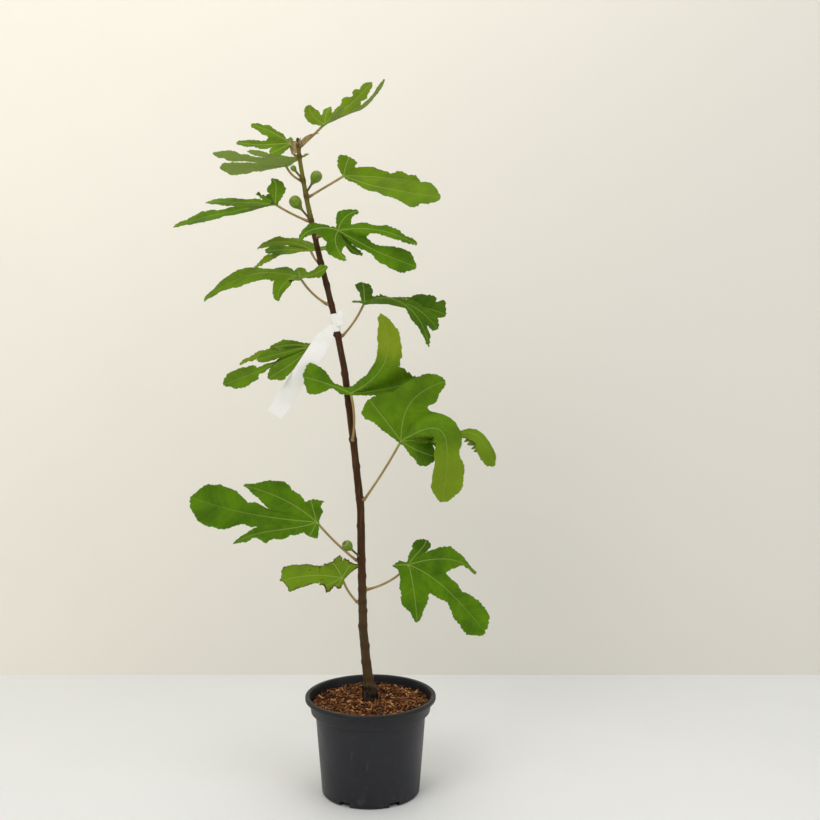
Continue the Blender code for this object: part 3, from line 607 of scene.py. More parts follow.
class Finish:
    """A procedural material, built by short calls that each give back a socket."""

    def __init__(self, name, roughness, specular=0.5):
        self.material = bpy.data.materials.new(name)
        self.material.use_nodes = True
        self.tree = self.material.node_tree
        self.shader = self.tree.nodes["Principled BSDF"]
        self.shader.inputs["Roughness"].default_value = roughness
        self.shader.inputs["Specular IOR Level"].default_value = specular

    def feed(self, socket, value):
        """Link a socket to an input, or set the input to a value."""
        if isinstance(value, bpy.types.NodeSocket):
            self.tree.links.new(value, socket)
        elif hasattr(value, "__len__") and socket.type == "RGBA":
            socket.default_value = (*value[:3], 1.0)
        else:
            socket.default_value = value

    def node(self, kind, output, inputs, **settings):
        """Add a node, and give back one of its outputs."""
        made = self.tree.nodes.new("ShaderNode" + kind)
        for key, value in settings.items():
            setattr(made, key, value)
        for key, value in inputs.items():
            self.feed(made.inputs[key], value)
        return made.outputs[output]

    def math(self, operation, *values):
        """A sum on one, two or three values."""
        return self.node("Math", 0, dict(enumerate(values)), operation=operation)

    def step(self, value, low, high, start=0.0, end=1.0):
        """The value eased from start at low to end at high."""
        inputs = {"Value": value, "From Min": low, "From Max": high, "To Min": start, "To Max": end}
        return self.node("MapRange", 0, inputs, interpolation_type="SMOOTHSTEP")

    def mix(self, share, low, high):
        """Two colours mixed by a share."""
        return self.node("Mix", 2, {0: share, 6: low, 7: high}, data_type="RGBA")

    def attribute(self, name):
        """A number kept on the mesh."""
        return self.node("Attribute", "Fac", {}, attribute_name=name)

    def place(self, stretch=(1.0, 1.0, 1.0)):
        """Object coordinates, stretched."""
        where = self.node("TexCoord", "Object", {})
        return self.node("Mapping", 0, {"Vector": where, "Scale": stretch})

    def noise(self, scale, detail=3.0, stretch=(1.0, 1.0, 1.0)):
        """Soft noise from 0 to 1."""
        return self.node("TexNoise", 0, {"Vector": self.place(stretch), "Scale": scale, "Detail": detail})

    def cells(self, scale, feature="DISTANCE_TO_EDGE", stretch=(1.0, 1.0, 1.0)):
        """The distance in a pattern of cells."""
        return self.node("TexVoronoi", "Distance", {"Vector": self.place(stretch), "Scale": scale}, feature=feature)

    def bump(self, height, distance, strength=1.0):
        """Give the surface a fine relief, of a height in millimetres."""
        inputs = {"Height": height, "Distance": distance * MM, "Strength": strength}
        self.feed(self.shader.inputs["Normal"], self.node("Bump", 0, inputs))

    def colour(self, value):
        """Give the surface its colour."""
        self.feed(self.shader.inputs["Base Color"], value)

    def roughness(self, value):
        """Give the surface a roughness that varies."""
        self.feed(self.shader.inputs["Roughness"], value)


def leaf_finish(look):
    """The blade: green above, paler beneath, with side veins from the blade's own map."""
    made = Finish("Leaf blade", 0.6, 0.07)
    spot = made.node("SeparateXYZ", "X", {0: made.node("UVMap", 0, {}, uv_map="Veins")})
    parts = spot.node
    run = made.math("MULTIPLY", parts.outputs["X"], 100.0)
    offset = made.math("MULTIPLY", parts.outputs["Y"], 100.0)
    away = made.math("ABSOLUTE", offset)
    reach = made.math("MULTIPLY", made.math("MULTIPLY", away, away), VEIN_CURVE)
    phase = made.math("SUBTRACT", made.math("SUBTRACT", run, made.math("MULTIPLY", away, VEIN_SLANT)), reach)
    phase = made.math("DIVIDE", phase, look.vein_spacing)
    phase = made.math("ADD", phase, made.math("MULTIPLY", made.math("GREATER_THAN", offset, 0.0), 0.5))
    from_vein = made.math("ABSOLUTE", made.math("SUBTRACT", made.math("FRACT", made.math("ADD", phase, 0.5)), 0.5))
    from_vein = made.math("MULTIPLY", from_vein, look.vein_spacing)
    side_vein = made.math("MULTIPLY", made.step(from_vein, 0.1, 0.6, 1.0, 0.0), made.step(away, 2.0, 26.0, 1.0, 0.2))
    rib = made.math("MULTIPLY", made.step(away, 0.25, 0.95, 1.0, 0.0), made.step(run, 0.0, 150.0, 1.0, 0.35))
    net = made.step(made.cells(290.0), 0.0, 0.09, 1.0, 0.0)
    under = made.attribute("under")
    tone = made.attribute("tone")
    blotch = made.step(made.noise(34.0, 4.0), 0.3, 0.7)
    top = made.mix(blotch, look.upper_deep, look.upper)
    top = made.mix(made.math("MAXIMUM", tone, 0.0), top, look.upper_yellow)
    # Painted shade: below 0 the tone takes the upper side towards the darkest green, for lobes that lie in shade.
    top = made.mix(made.math("MINIMUM", made.math("MULTIPLY", tone, -1.0), 0.9), top, look.upper_shaded)
    low = made.mix(made.math("MAXIMUM", tone, made.math("MULTIPLY", blotch, 0.3)), look.under, look.under_pale)
    colour = made.mix(under, top, low)
    veins = made.math("MAXIMUM", made.math("MULTIPLY", side_vein, 0.22), made.math("MULTIPLY", rib, 0.72))
    veins = made.math("MAXIMUM", veins, made.math("MULTIPLY", net, 0.06))
    colour = made.mix(veins, colour, look.vein)
    wilt = made.attribute("wilt")
    margin = made.math("ADD", made.attribute("margin"), made.math("MULTIPLY", made.noise(70.0, 4.0), 9.0))
    burnt = made.math("MULTIPLY", made.step(margin, 4.0, 6.5, 1.0, 0.0), wilt)
    spots = made.math("MULTIPLY", made.step(made.noise(120.0, 2.0), 0.66, 0.72), wilt)
    colour = made.mix(made.math("MAXIMUM", burnt, made.math("MULTIPLY", spots, 0.8)), colour, look.wilted)
    made.colour(colour)
    made.roughness(made.math("ADD", made.math("MULTIPLY", under, 0.2), made.step(blotch, 0.0, 1.0, 0.5, 0.6)))
    sunk = made.math("MULTIPLY", made.math("MAXIMUM", side_vein, made.math("MULTIPLY", net, 0.35)), -1.0)
    made.bump(made.math("ADD", sunk, made.math("MULTIPLY", made.noise(900.0, 2.0), 0.25)), 0.35, 0.8)
    return made.material


def stalk_finish(look):
    """The stalks and main ribs: tan and reddish at the trunk, yellow-green by the blade and along the ribs."""
    made = Finish("Leaf stalk", 0.45, 0.4)
    run = made.attribute("run")
    streak = made.noise(160.0, 3.0, (1.0, 1.0, 0.3))
    colour = made.mix(made.step(run, 0.0, 0.18), look.stalk_foot, look.stalk)
    colour = made.mix(made.step(run, 0.75, 1.05), colour, look.vein)
    colour = made.mix(made.step(streak, 0.35, 0.75, 0.0, 0.45), colour, look.stalk_pale)
    made.colour(colour)
    made.bump(streak, 0.3, 0.6)
    return made.material


def make_leaf(name, leaf, seed, look, materials):
    """One leaf: a thin lobed blade with puckered veins, raised ribs beneath and its stalk."""
    blade = Blade(leaf, seed, look)
    shape = bmesh.new()
    tone, under, margin, wilt = (shape.verts.layers.float.new(key) for key in ("tone", "under", "margin", "wilt"))
    corners = [shape.verts.new((*point, 0.0)) for point in blade.outline()]
    for pair in zip(corners, corners[1:] + corners[:1]):
        shape.edges.new(pair)
    for edge in shape.edges[:]:
        cuts = int(edge.calc_length() / RIM_STEP)
        if cuts:
            bmesh.ops.subdivide_edges(shape, edges=[edge], cuts=cuts)
    for _ in range(RIM_ROUNDS):
        bmesh.ops.smooth_vert(shape, verts=shape.verts[:], factor=0.5, use_axis_x=True, use_axis_y=True)
    face = bmesh.ops.contextual_create(shape, geom=shape.edges[:])["faces"][0]
    face.normal_update()
    if face.normal.z < 0.0:
        face.normal_flip()
    rim = np.array([vert.co[:2] for vert in face.verts])
    ahead = np.roll(rim, -1, axis=0) - np.roll(rim, 1, axis=0)
    outward = rows_unit(np.stack((ahead[:, 1], -ahead[:, 0]), axis=1))
    around = np.cumsum(np.linalg.norm(rim - np.roll(rim, 1, axis=0), axis=1))
    firm = smooth_step((blade.shares(rim).max(axis=0) - SINUS_SHARE) / (1.0 - SINUS_SHARE) * 1.6)
    bent = blade.bend(rim)
    stretched = np.linalg.norm(np.roll(bent, -1, axis=0) - np.roll(bent, 1, axis=0), axis=1)
    firm *= smooth_step(2.0 * stretched / np.linalg.norm(ahead, axis=1) - 1.0)
    for vert, out, walked, back, held in zip(face.verts, outward, around, blade.nicks(rim), firm):
        drift = noise.noise(Vector((walked / 11.0, seed * 5.1, 0.0)))
        bite = abs(math.sin(math.pi * (walked / look.tooth_length + 0.9 * drift)))
        swing = look.tooth_height * (bite - 0.6) * (0.7 + 0.9 * drift)
        swing += look.ripple * noise.noise(Vector((walked / 14.0, seed * 9.7, 4.0)))
        swing = swing * held - back
        vert.co.x += out[0] * swing
        vert.co.y += out[1] * swing
    rim = np.array([vert.co[:2] for vert in face.verts])

    reach = float(np.abs(rim).max())
    lines = int(reach // GRID) + 1
    for axis in (Vector((1.0, 0.0, 0.0)), Vector((0.0, 1.0, 0.0))):
        for line in range(-lines, lines + 1):
            bmesh.ops.bisect_plane(shape, geom=shape.verts[:] + shape.edges[:] + shape.faces[:], dist=0.01,
                                   plane_co=axis * (line + 0.5) * GRID, plane_no=axis)
    for index, rib in enumerate(blade.ribs):
        centres = np.array([face.calc_center_median()[:2] for face in shape.faces])
        own = blade.owners(centres) == index
        faces = [face for face, mine in zip(shape.faces, own) if mine]
        geometry = faces + list({edge for face in faces for edge in face.edges})
        geometry += list({vert for face in faces for vert in face.verts})
        side = Vector((-math.sin(rib.angle), math.cos(rib.angle), 0.0))
        bmesh.ops.bisect_plane(shape, geom=geometry, dist=0.01, plane_co=(0.0, 0.0, 0.0), plane_no=side)
    bmesh.ops.triangulate(shape, faces=shape.faces[:])

    centres = np.array([face.calc_center_median()[:2] for face in shape.faces])
    veins = shape.loops.layers.uv.new("Veins")
    for face, owner in zip(shape.faces, blade.owners(centres)):
        angle = blade.ribs[owner].angle
        for loop in face.loops:
            x, y, _ = loop.vert.co
            loop[veins].uv = ((x * math.cos(angle) + y * math.sin(angle)) / 100.0,
                              (y * math.cos(angle) - x * math.sin(angle)) / 100.0)
    flat = np.array([vert.co[:2] for vert in shape.verts])
    tones = leaf.tone + blade.tones(flat)
    chord = place(leaf.petiole.heading, leaf.petiole.reach, leaf.petiole.toward)
    heart = trunk_point(leaf.height) + chord
    where, upward = blade.surface(flat)
    lift = shape.verts.layers.float_vector.new("lift")
    for vert, point, spot, up, value in zip(shape.verts, flat, where, upward, tones):
        vert.co = Vector((spot + heart) * MM - up * look.thickness / 2.0)
        vert[lift] = up * look.thickness
        vert[tone] = value
        vert[wilt] = leaf.wilt
        vert[under] = 1.0
        vert[margin] = min(float(np.hypot(*(rim - point).T).min()), MARGIN_REACH)
    for item in bmesh.ops.extrude_face_region(shape, geom=shape.faces[:])["geom"]:
        if isinstance(item, bmesh.types.BMVert):
            item.co += item[lift]
            item[under] = 0.0
    shape.verts.layers.float_vector.remove(lift)
    stalks = bmesh.new()
    run = stalks.verts.layers.float.new("run")

    for rib in blade.ribs:
        runs = np.linspace(0.0, 0.93 * rib.length, max(int(rib.length / 6.0), 4))
        course = np.stack((runs * math.cos(rib.angle), runs * math.sin(rib.angle)), axis=1)
        where, upward = blade.surface(course)
        thin = 1.0 - runs / rib.length
        radii = look.rib_radius * (0.22 + 0.78 * thin)
        sweep(stalks, where + heart - upward * (radii * 0.62)[:, None], radii, RIB_SEGMENTS,
              np.full(len(runs), 1.2), run, 1)
    root, outward = outward_from_trunk(leaf.height, chord, 4.0)
    collar = root + outward * PETIOLE_COLLAR
    across, back, up = heart - collar
    heading = math.degrees(math.atan2(across, up))
    course = bent_course(leaf.petiole.start, heading, math.hypot(across, up), -back, None, PETIOLE_HOLD,
                         PETIOLE_STEPS)
    points = np.concatenate(([root], collar + course))
    share = np.linspace(0.0, 1.0, len(points))
    radii = look.stalk_radius * (0.9 + 0.7 * np.exp(-share * 14.0) + 0.1 * share ** 6)
    sweep(stalks, points, radii, PETIOLE_SEGMENTS, share, run, 1)
    absorb(shape, stalks)
    return finished(name + "_blade", shape, materials, name)


def pot_finish(look):
    """Moulded plastic: dark grey with a faint grain, paler scuffs and dust by the lip and foot, and painted shade that
    turns it nearly black towards the lip.
    """
    made = Finish("Pot plastic", look.roughness, 0.35)
    cloud = made.noise(18.0, 5.0)
    colour = made.mix(made.step(cloud, 0.3, 0.75), look.colour, look.colour_pale)
    height = made.node("SeparateXYZ", "Z", {0: made.place()})
    dust = made.math("MULTIPLY", made.step(made.noise(120.0, 6.0), 0.5, 0.8), 0.22)
    low = made.step(height, 0.0, 0.03, 1.0, 0.25)
    colour = made.mix(made.math("MULTIPLY", dust, low), colour, look.dust)
    scuff = made.step(made.noise(90.0, 2.0, (1.0, 1.0, 0.25)), 0.68, 0.78, 0.0, 0.12)
    colour = made.mix(scuff, colour, look.dust)
    # Painted shade: the plastic goes nearly black towards the lip.
    made.colour(made.mix(made.step(height, 0.1, 0.15, 0.0, 0.7), colour, look.lip))
    made.roughness(made.step(cloud, 0.2, 0.8, look.roughness - 0.05, look.roughness + 0.12))
    made.bump(made.noise(1400.0, 2.0), 0.06, 0.7)
    return made.material


def make_pot(look):
    """The pot: tapered body, band, rounded lip, foot notches and the moulding nub on its side."""
    wall = look.wall
    lip_bottom = POT_HEIGHT - LIP_HEIGHT
    inner_foot = POT_FOOT_RADIUS - wall
    profile = (
        (0.0, POT_BASE),
        (inner_foot, POT_BASE),
        (POT_BODY_RADIUS - wall, POT_BODY_TOP),
        (BAND_BOTTOM_RADIUS - wall, BAND_BOTTOM + wall),
        (BAND_TOP_RADIUS - wall, lip_bottom),
        (LIP_RADIUS - LIP_HEIGHT, POT_HEIGHT - 0.6),
        (LIP_RADIUS - LIP_HEIGHT + 1.4, POT_HEIGHT),
        (LIP_RADIUS - 1.2, POT_HEIGHT),
        (LIP_RADIUS, POT_HEIGHT - 1.2),
        (LIP_RADIUS, lip_bottom + 0.6),
        (LIP_RADIUS - 0.8, lip_bottom),
        (BAND_TOP_RADIUS, lip_bottom - 0.4),
        (BAND_BOTTOM_RADIUS, BAND_BOTTOM),
        (POT_BODY_RADIUS + 0.2, POT_BODY_TOP),
        (POT_FOOT_RADIUS + FOOT_CHAMFER / 2.0, FOOT_CHAMFER),
        (POT_FOOT_RADIUS - FOOT_CHAMFER / 2.0, 0.0),
        (POT_FOOT_RADIUS - 6.0, 0.0),
        (POT_FOOT_RADIUS - 8.0, 0.7),
        (0.0, 0.7),
    )
    shape = bmesh.new()
    spun(shape, profile, look.segments)
    rings = [edge for edge in shape.edges
             if abs(edge.verts[0].co.z - edge.verts[1].co.z) < 1e-6 and edge.verts[0].co.xy.length > 0.03
             and edge.calc_face_angle() > math.radians(18.0)]
    bmesh.ops.bevel(shape, geom=rings, offset=look.edge_round * MM, offset_type="OFFSET", segments=3, profile=0.5,
                    affect="EDGES", clamp_overlap=True, material=-1)
    nub = bmesh.ops.create_cube(shape, size=MM)["verts"]
    where = POT_FOOT_RADIUS + (POT_BODY_RADIUS - POT_FOOT_RADIUS) * NUB_HEIGHT / POT_BODY_TOP
    turn = Matrix.Translation(Vector((where * MM, 0.0, NUB_HEIGHT * MM)))
    bmesh.ops.transform(shape, matrix=turn @ Matrix.Diagonal((*NUB_SIZE, 1.0)), verts=nub)
    edges = list({edge for vert in nub for edge in vert.link_edges})
    bmesh.ops.bevel(shape, geom=edges, offset=0.9 * MM, offset_type="OFFSET", segments=3, profile=0.5,
                    affect="EDGES", clamp_overlap=True, material=-1)
    cutter_shape = bmesh.new()
    for index in range(NOTCHES):
        turn = math.radians(NOTCH_FIRST_DEGREES + index * 360.0 / NOTCHES - 90.0)
        cube = bmesh.ops.create_cube(cutter_shape, size=MM)["verts"]
        spot = Vector((POT_FOOT_RADIUS * math.cos(turn), POT_FOOT_RADIUS * math.sin(turn), 0.0)) * MM
        matrix = Matrix.Translation(spot) @ Matrix.Rotation(turn, 4, "Z") @ Matrix.Diagonal((*NOTCH_SIZE, 1.0))
        bmesh.ops.transform(cutter_shape, matrix=matrix, verts=cube)
    body = loose_object("pot_body", shape)
    cutter = loose_object("pot_notches", cutter_shape)
    cut = body.modifiers.new("Notches", "BOOLEAN")
    cut.operation = "DIFFERENCE"
    cut.object = cutter
    cut.solver = "EXACT"
    graph = bpy.context.evaluated_depsgraph_get()
    shape = bmesh.new()
    shape.from_mesh(body.evaluated_get(graph).to_mesh())
    bpy.data.objects.remove(body)
    bpy.data.objects.remove(cutter)
    bmesh.ops.remove_doubles(shape, verts=shape.verts[:], dist=0.005 * MM)
    return finished("pot_shell", shape, [pot_finish(look)], "pot", 32.0)


def loose_object(name, shape):
    """Link a bmesh as a plain object that is used up later."""
    mesh = bpy.data.meshes.new(name)
    shape.to_mesh(mesh)
    shape.free()
    item = bpy.data.objects.new(name, mesh)
    bpy.context.scene.collection.objects.link(item)
    return item


def mulch_finish(look):
    """Bark chips, each of its own brown, streaked along the grain."""
    made = Finish("Bark mulch", 0.85, 0.25)
    chip = made.attribute("chip")
    streak = made.noise(700.0, 3.0, (1.0, 0.35, 1.0))
    colour = made.mix(made.step(chip, 0.0, 0.45), look.dark, look.middle)
    colour = made.mix(made.step(chip, 0.5, 0.95), colour, look.bright)
    colour = made.mix(made.step(streak, 0.35, 0.7, 0.0, 0.55), colour, look.dark)
    made.colour(colour)
    made.bump(streak, 0.5, 0.8)
    return made.material


def make_compost(look):
    """The compost: a lumpy bed that fills the pot, strewn with bark chips."""
    shape = bmesh.new()
    chip = shape.verts.layers.float.new("chip")
    top = [(COMPOST_RADIUS * share, COMPOST_CROWN + (COMPOST_EDGE - COMPOST_CROWN) * share ** 2)
           for share in np.linspace(0.0, 1.0, 40)]
    profile = top + [(COMPOST_RADIUS, 121.0), (76.4, 116.8), (67.6, 10.0), (57.0, 2.8), (0.0, 2.8)]
    spun(shape, profile, 110)
    for vert in shape.verts:
        if vert.co.z > COMPOST_EDGE * MM - 1e-5 and vert.co.xy.length < (COMPOST_RADIUS - 1.0) * MM:
            vert.co.z += COMPOST_LUMP * MM * noise.fractal(vert.co * 160.0, 0.6, 2.0, 3)
        vert[chip] = 0.12
    draw = random.Random(11)
    batch = None
    for index in range(look.chips):
        if index % CHIP_BATCH == 0:
            if batch is not None:
                absorb(shape, batch)
            batch = bmesh.new()
            chip = batch.verts.layers.float.new("chip")
        reach = math.sqrt(draw.uniform(CHIP_HOLE ** 2, CHIP_FIELD ** 2))
        turn = draw.uniform(0.0, 2.0 * math.pi)
        length = min(look.chip_length * draw.lognormvariate(0.0, 0.42), 2.2 * (COMPOST_RADIUS + 1.0 - reach) + 3.0)
        width = min(draw.uniform(1.1, 3.2), length)
        size = Matrix.Diagonal((length, width, draw.uniform(0.5, 1.3), 1.0))
        crown = COMPOST_CROWN + (COMPOST_EDGE - COMPOST_CROWN) * (reach / COMPOST_RADIUS) ** 2
        spot = Vector((reach * math.cos(turn), reach * math.sin(turn), crown + draw.uniform(-0.2, CHIP_LAYER)))
        lean = Matrix.Rotation(draw.gauss(0.0, 0.3), 4, "Y") @ Matrix.Rotation(draw.gauss(0.0, 0.35), 4, "X")
        verts = bmesh.ops.create_cube(batch, size=1.0)["verts"]
        for vert in verts:
            end = 0.45 if vert.co.x > 0.0 else 0.8
            vert.co.y *= draw.uniform(end, 1.0)
            vert.co.x *= draw.uniform(0.75, 1.0)
        turned = Matrix.Translation(spot) @ Matrix.Rotation(draw.uniform(0.0, math.pi), 4, "Z") @ lean @ size
        bmesh.ops.transform(batch, matrix=Matrix.Scale(MM, 4) @ turned, verts=verts)
        shade = min(max(draw.gauss(0.4, 0.32), 0.0), 1.0)
        for vert in verts:
            vert[chip] = shade
    absorb(shape, batch)
    return finished("mulch", shape, [mulch_finish(look)], "compost", 25.0)


def bark_finish(look):
    """Bark: olive-brown at the foot, dark red-brown in the middle, green at the top, reddish at the nodes."""
    made = Finish("Trunk bark", 0.5, 0.15)
    height = made.node("SeparateXYZ", "Z", {0: made.place()})
    wander = made.math("MULTIPLY", made.math("SUBTRACT", made.noise(22.0, 3.0), 0.5), 0.09)
    height = made.math("ADD", height, wander)
    colour = made.mix(made.step(height, 0.15, 0.172), look.collar, look.low)
    colour = made.mix(made.step(height, 0.27, 0.35), colour, look.middle)
    colour = made.mix(made.step(height, 0.755, 0.84), colour, look.high)
    colour = made.mix(made.step(height, 0.89, 0.915), colour, look.node)
    streak = made.noise(330.0, 4.0, (1.0, 1.0, 0.1))
    colour = made.mix(made.step(streak, 0.42, 0.72, 0.0, 0.5), colour, look.streak)
    node = made.attribute("node")
    colour = made.mix(made.math("MULTIPLY", node, 0.65), colour, look.node)
    pores = made.cells(420.0, "F1", (1.0, 1.0, 0.6))
    colour = made.mix(made.step(pores, 0.1, 0.2, 0.35, 0.0), colour, look.streak)
    made.colour(colour)
    made.roughness(made.step(streak, 0.3, 0.8, 0.42, 0.66))
    made.bump(made.math("ADD", streak, made.math("MULTIPLY", made.noise(1500.0, 2.0), 0.3)), 0.45, 0.8)
    return made.material


def make_trunk(look):
    """The trunk: bark with swollen nodes and ring scars, root lobes, the bud and its papery scales."""
    shape = bmesh.new()
    node, run = (shape.verts.layers.float.new(key) for key in ("node", "run"))
    high = TRUNK_COURSE[-1][0]
    collar = [row[0] for row in TRUNK_COURSE[:3]]
    heights = list(np.arange(collar[0], high, TRUNK_RING)) + [high]
    points = [trunk_point(height) for height in heights]
    radii = [trunk_radius(height) for height in heights]
    for index, height in enumerate(heights):
        if height < collar[2]:
            points[index][:2] = points[0][:2] + (points[index][:2] - points[0][:2]) * (height - collar[0]) / 17.2
    tip = np.array((BUD_TIP[0], points[-1][1], BUD_TIP[1]))
    for step in range(1, BUD_STEPS + 1):
        share = step / BUD_STEPS
        points.append(points[len(heights) - 1] + (tip - points[len(heights) - 1]) * share)
        radii.append(radii[len(heights) - 1] * math.sqrt(1.0 - share ** 1.6) + BUD_TIP[2] / 2.0 * share)
    verts = sweep(shape, points, radii, TRUNK_SEGMENTS)
    nodes = [(leaf.height, leaf.petiole.heading, 1.0) for leaf in LEAVES.values()]
    nodes += [(fig.height, fig.heading, 0.4) for fig in FIGS.values()]
    nodes += [(height, heading, 0.7) for height, heading in SCARS]
    for vert in verts:
        height = vert.co.z / MM
        middle = trunk_point(min(height, high))
        out = np.array((vert.co.x / MM - middle[0], vert.co.y / MM - middle[1]))
        length = float(np.hypot(*out))
        if length < 0.2 or height > high:
            continue
        out = out / length
        swell = 0.0
        near = 0.0
        for level, heading, size in nodes:
            away = height - level
            if abs(away) < 14.0:
                facing = max(out[0] * math.copysign(1.0, math.sin(math.radians(heading))), 0.0)
                bulge = math.exp(-(away / 3.6) ** 2) * (0.35 + 0.65 * facing ** 2)
                swell += look.node_swell * size * bulge
                swell -= 0.3 * size * math.exp(-((away - 5.0) / 1.1) ** 2)
                near = max(near, size * math.exp(-(away / 4.5) ** 2))
        ridges = noise.noise(Vector((out[0] * 2.4, out[1] * 2.4, height / 16.0)))
        swell += look.ridge * ridges + 0.5 * look.ridge * noise.noise(Vector((out[0] * 5.0, out[1] * 5.0, height / 5.0)))
        foot = float(smooth_step((164.0 - height) / 14.0))
        angle = math.atan2(out[1], out[0])
        swell += foot * (1.4 + 1.2 * math.sin(ROOT_LOBES * angle + 0.6) + 3.0 * noise.noise(vert.co * 170.0))
        swell = max(min(swell, 12.2 - length), 0.4 - length)
        if height > collar[0] + 0.1:
            vert.co.x += out[0] * swell * MM
            vert.co.y += out[1] * swell * MM
        vert[node] = near
    base = trunk_point(SCALE_HEIGHT)
    for heading, toward, length, width, curl in SCALES:
        grid = bmesh.ops.create_grid(shape, x_segments=4, y_segments=10, size=0.5)["verts"]
        rise = bent_course(heading * 0.35 if heading < 180 else 360 - (360 - heading) * 0.35, heading, length,
                           toward, None, 0.4, 20)
        side = unit(np.cross(rise[-1], (0.0, 1.0, 0.15)))
        for vert in grid:
            share = vert.co.y + 0.5
            spot = np.array([np.interp(share, np.linspace(0.0, 1.0, 21), rise[:, axis]) for axis in range(3)])
            spread = width * math.sin(math.pi * (0.12 + 0.86 * share) ** 0.8) * vert.co.x
            cup = -abs(vert.co.x) * 2.4 + 1.2 * noise.noise(Vector((vert.co.x * 3.0, share * 4.0, heading)))
            curled = side * math.cos(math.radians(curl) * share) + np.array((0.0, 1.0, 0.0)) * math.sin(
                math.radians(curl) * share)
            vert.co = Vector((base + spot + curled * spread + np.array((0.0, cup, 0.0))) * MM)
            vert[run] = share
        faces = list({face for vert in grid for face in vert.link_faces})
        bmesh.ops.solidify(shape, geom=faces, thickness=0.35 * MM)
    for face in shape.faces:
        if any(vert[run] > 0.0 for vert in face.verts):
            face.material_index = 1
    return finished("stem", shape, [bark_finish(look), scale_finish(look)], "trunk")


def scale_finish(look):
    """Papery scales: light brown with paler streaks, greener at their foot."""
    made = Finish("Bud scale", 0.7, 0.25)
    streak = made.noise(420.0, 3.0, (1.0, 1.0, 0.2))
    colour = made.mix(made.step(streak, 0.3, 0.75), look.scale, look.scale_pale)
    colour = made.mix(made.step(made.attribute("run"), 0.0, 0.25, 0.6, 0.0), colour, look.high)
    made.colour(colour)
    made.bump(streak, 0.3, 0.7)
    return made.material


def fig_finish(look):
    """Fig skin: green with pale flecks and painted shade, a deeper green in the grooves between the ribs, with a
    reddish eye at the far end.
    """
    made = Finish("Fig skin", 0.4, 0.45)
    eye = made.attribute("eye")
    fleck = made.step(made.cells(650.0, "F1"), 0.1, 0.22, 0.5, 0.0)
    colour = made.mix(made.step(made.noise(90.0, 3.0), 0.3, 0.7), look.colour_deep, look.colour)
    # Painted shade: the skin goes deeper green in the grooves between the ribs.
    colour = made.mix(made.attribute("ribbed"), colour, look.colour_deep)
    colour = made.mix(fleck, colour, look.colour_pale)
    colour = made.mix(made.step(eye, 0.86, 0.94), colour, look.colour_pale)
    colour = made.mix(made.step(eye, 0.94, 0.985), colour, look.eye)
    colour = made.mix(made.step(eye, -0.35, 0.0, 1.0, 0.0), colour, look.stalk)
    made.colour(colour)
    made.bump(made.noise(1100.0, 2.0), 0.1, 0.6)
    return made.material


def make_fig(name, fig, look, material):
    """One small fig: pear shaped and faintly ribbed, with a scaly eye and a stalk."""
    chord = place(fig.heading, fig.reach, fig.toward)
    stalk = FIG_STALK_DIAMETER / 2.0
    root, outward = outward_from_trunk(fig.height, chord, FIG_STALK_DIAMETER)
    tip = trunk_point(fig.height) + chord
    length = float(np.linalg.norm(tip - root))
    radius = fig.diameter / 2.0
    body = min(length * (1.0 - FIG_STALK_SHARE), fig.diameter * FIG_BODY_SHARE)
    shoulder = length - body
    across, along = zip(*FIG_BODY)
    neck = stalk / radius
    known = [(1.0 - share, width) for width, share in zip(across, along)] + [(1.14, neck * 1.05), (1.3, neck)]
    ends = (1.0 + shoulder / body)
    rows = []
    for share in np.linspace(0.0, 1.0, FIG_ROWS) ** 1.25:
        down = share * ends
        width = np.interp(down, *zip(*known))
        if down < 0.45:
            width = math.sqrt(max(1.0 - ((0.45 - down) / 0.45) ** 2.4, 0.0))
        rows.append((float(width) * radius, shoulder + body * (1.0 - down)))
    rows[0] = (0.0, length)
    rows.append((0.0, 0.0))
    smoothed = [rows[0]] + [tuple(np.mean(rows[max(i - 2, 0):i + 3], axis=0) if 4 < i < len(rows) - 4 else rows[i])
                            for i in range(1, len(rows) - 1)] + [rows[-1]]
    shape = bmesh.new()
    eye, ribbed = (shape.verts.layers.float.new(key) for key in ("eye", "ribbed"))
    spun(shape, smoothed, FIG_SEGMENTS)
    for vert in shape.verts:
        share = (vert.co.z / MM - shoulder) / body
        angle = math.atan2(vert.co.y, vert.co.x)
        rib = 0.5 - 0.5 * math.cos(look.ribs * angle)
        swell = look.rib_depth * (rib - 0.5) * float(smooth_step(share / 0.5)) * float(smooth_step((1.0 - share) / 0.2))
        reach = vert.co.xy.length
        if reach > 1e-6:
            vert.co.xy *= (reach + swell * MM * fig.diameter / 16.0) / reach
        vert[eye] = share
        # Painted shade: how far the skin is darkened in the grooves between the ribs.
        vert[ribbed] = 0.5 * (1.0 - rib) * float(smooth_step(share / 0.4))
    turn = Vector((0.0, 0.0, 1.0)).rotation_difference(Vector(tip - root)).to_matrix().to_4x4()
    bmesh.ops.transform(shape, matrix=Matrix.Translation(Vector(root * MM)) @ turn, verts=shape.verts[:])
    return finished(name + "_fruit", shape, [material], name, 60.0)


def label_finish(look):
    """Thin white plastic, barely clouded, with a fine matt grain."""
    made = Finish("Label plastic", 0.38, 0.5)
    cloud = made.noise(60.0, 3.0)
    made.colour(made.mix(made.step(cloud, 0.3, 0.8), look.colour, look.colour_worn))
    made.roughness(made.step(cloud, 0.2, 0.8, 0.32, 0.48))
    made.bump(made.noise(1600.0, 2.0), 0.05, 0.5)
    return made.material


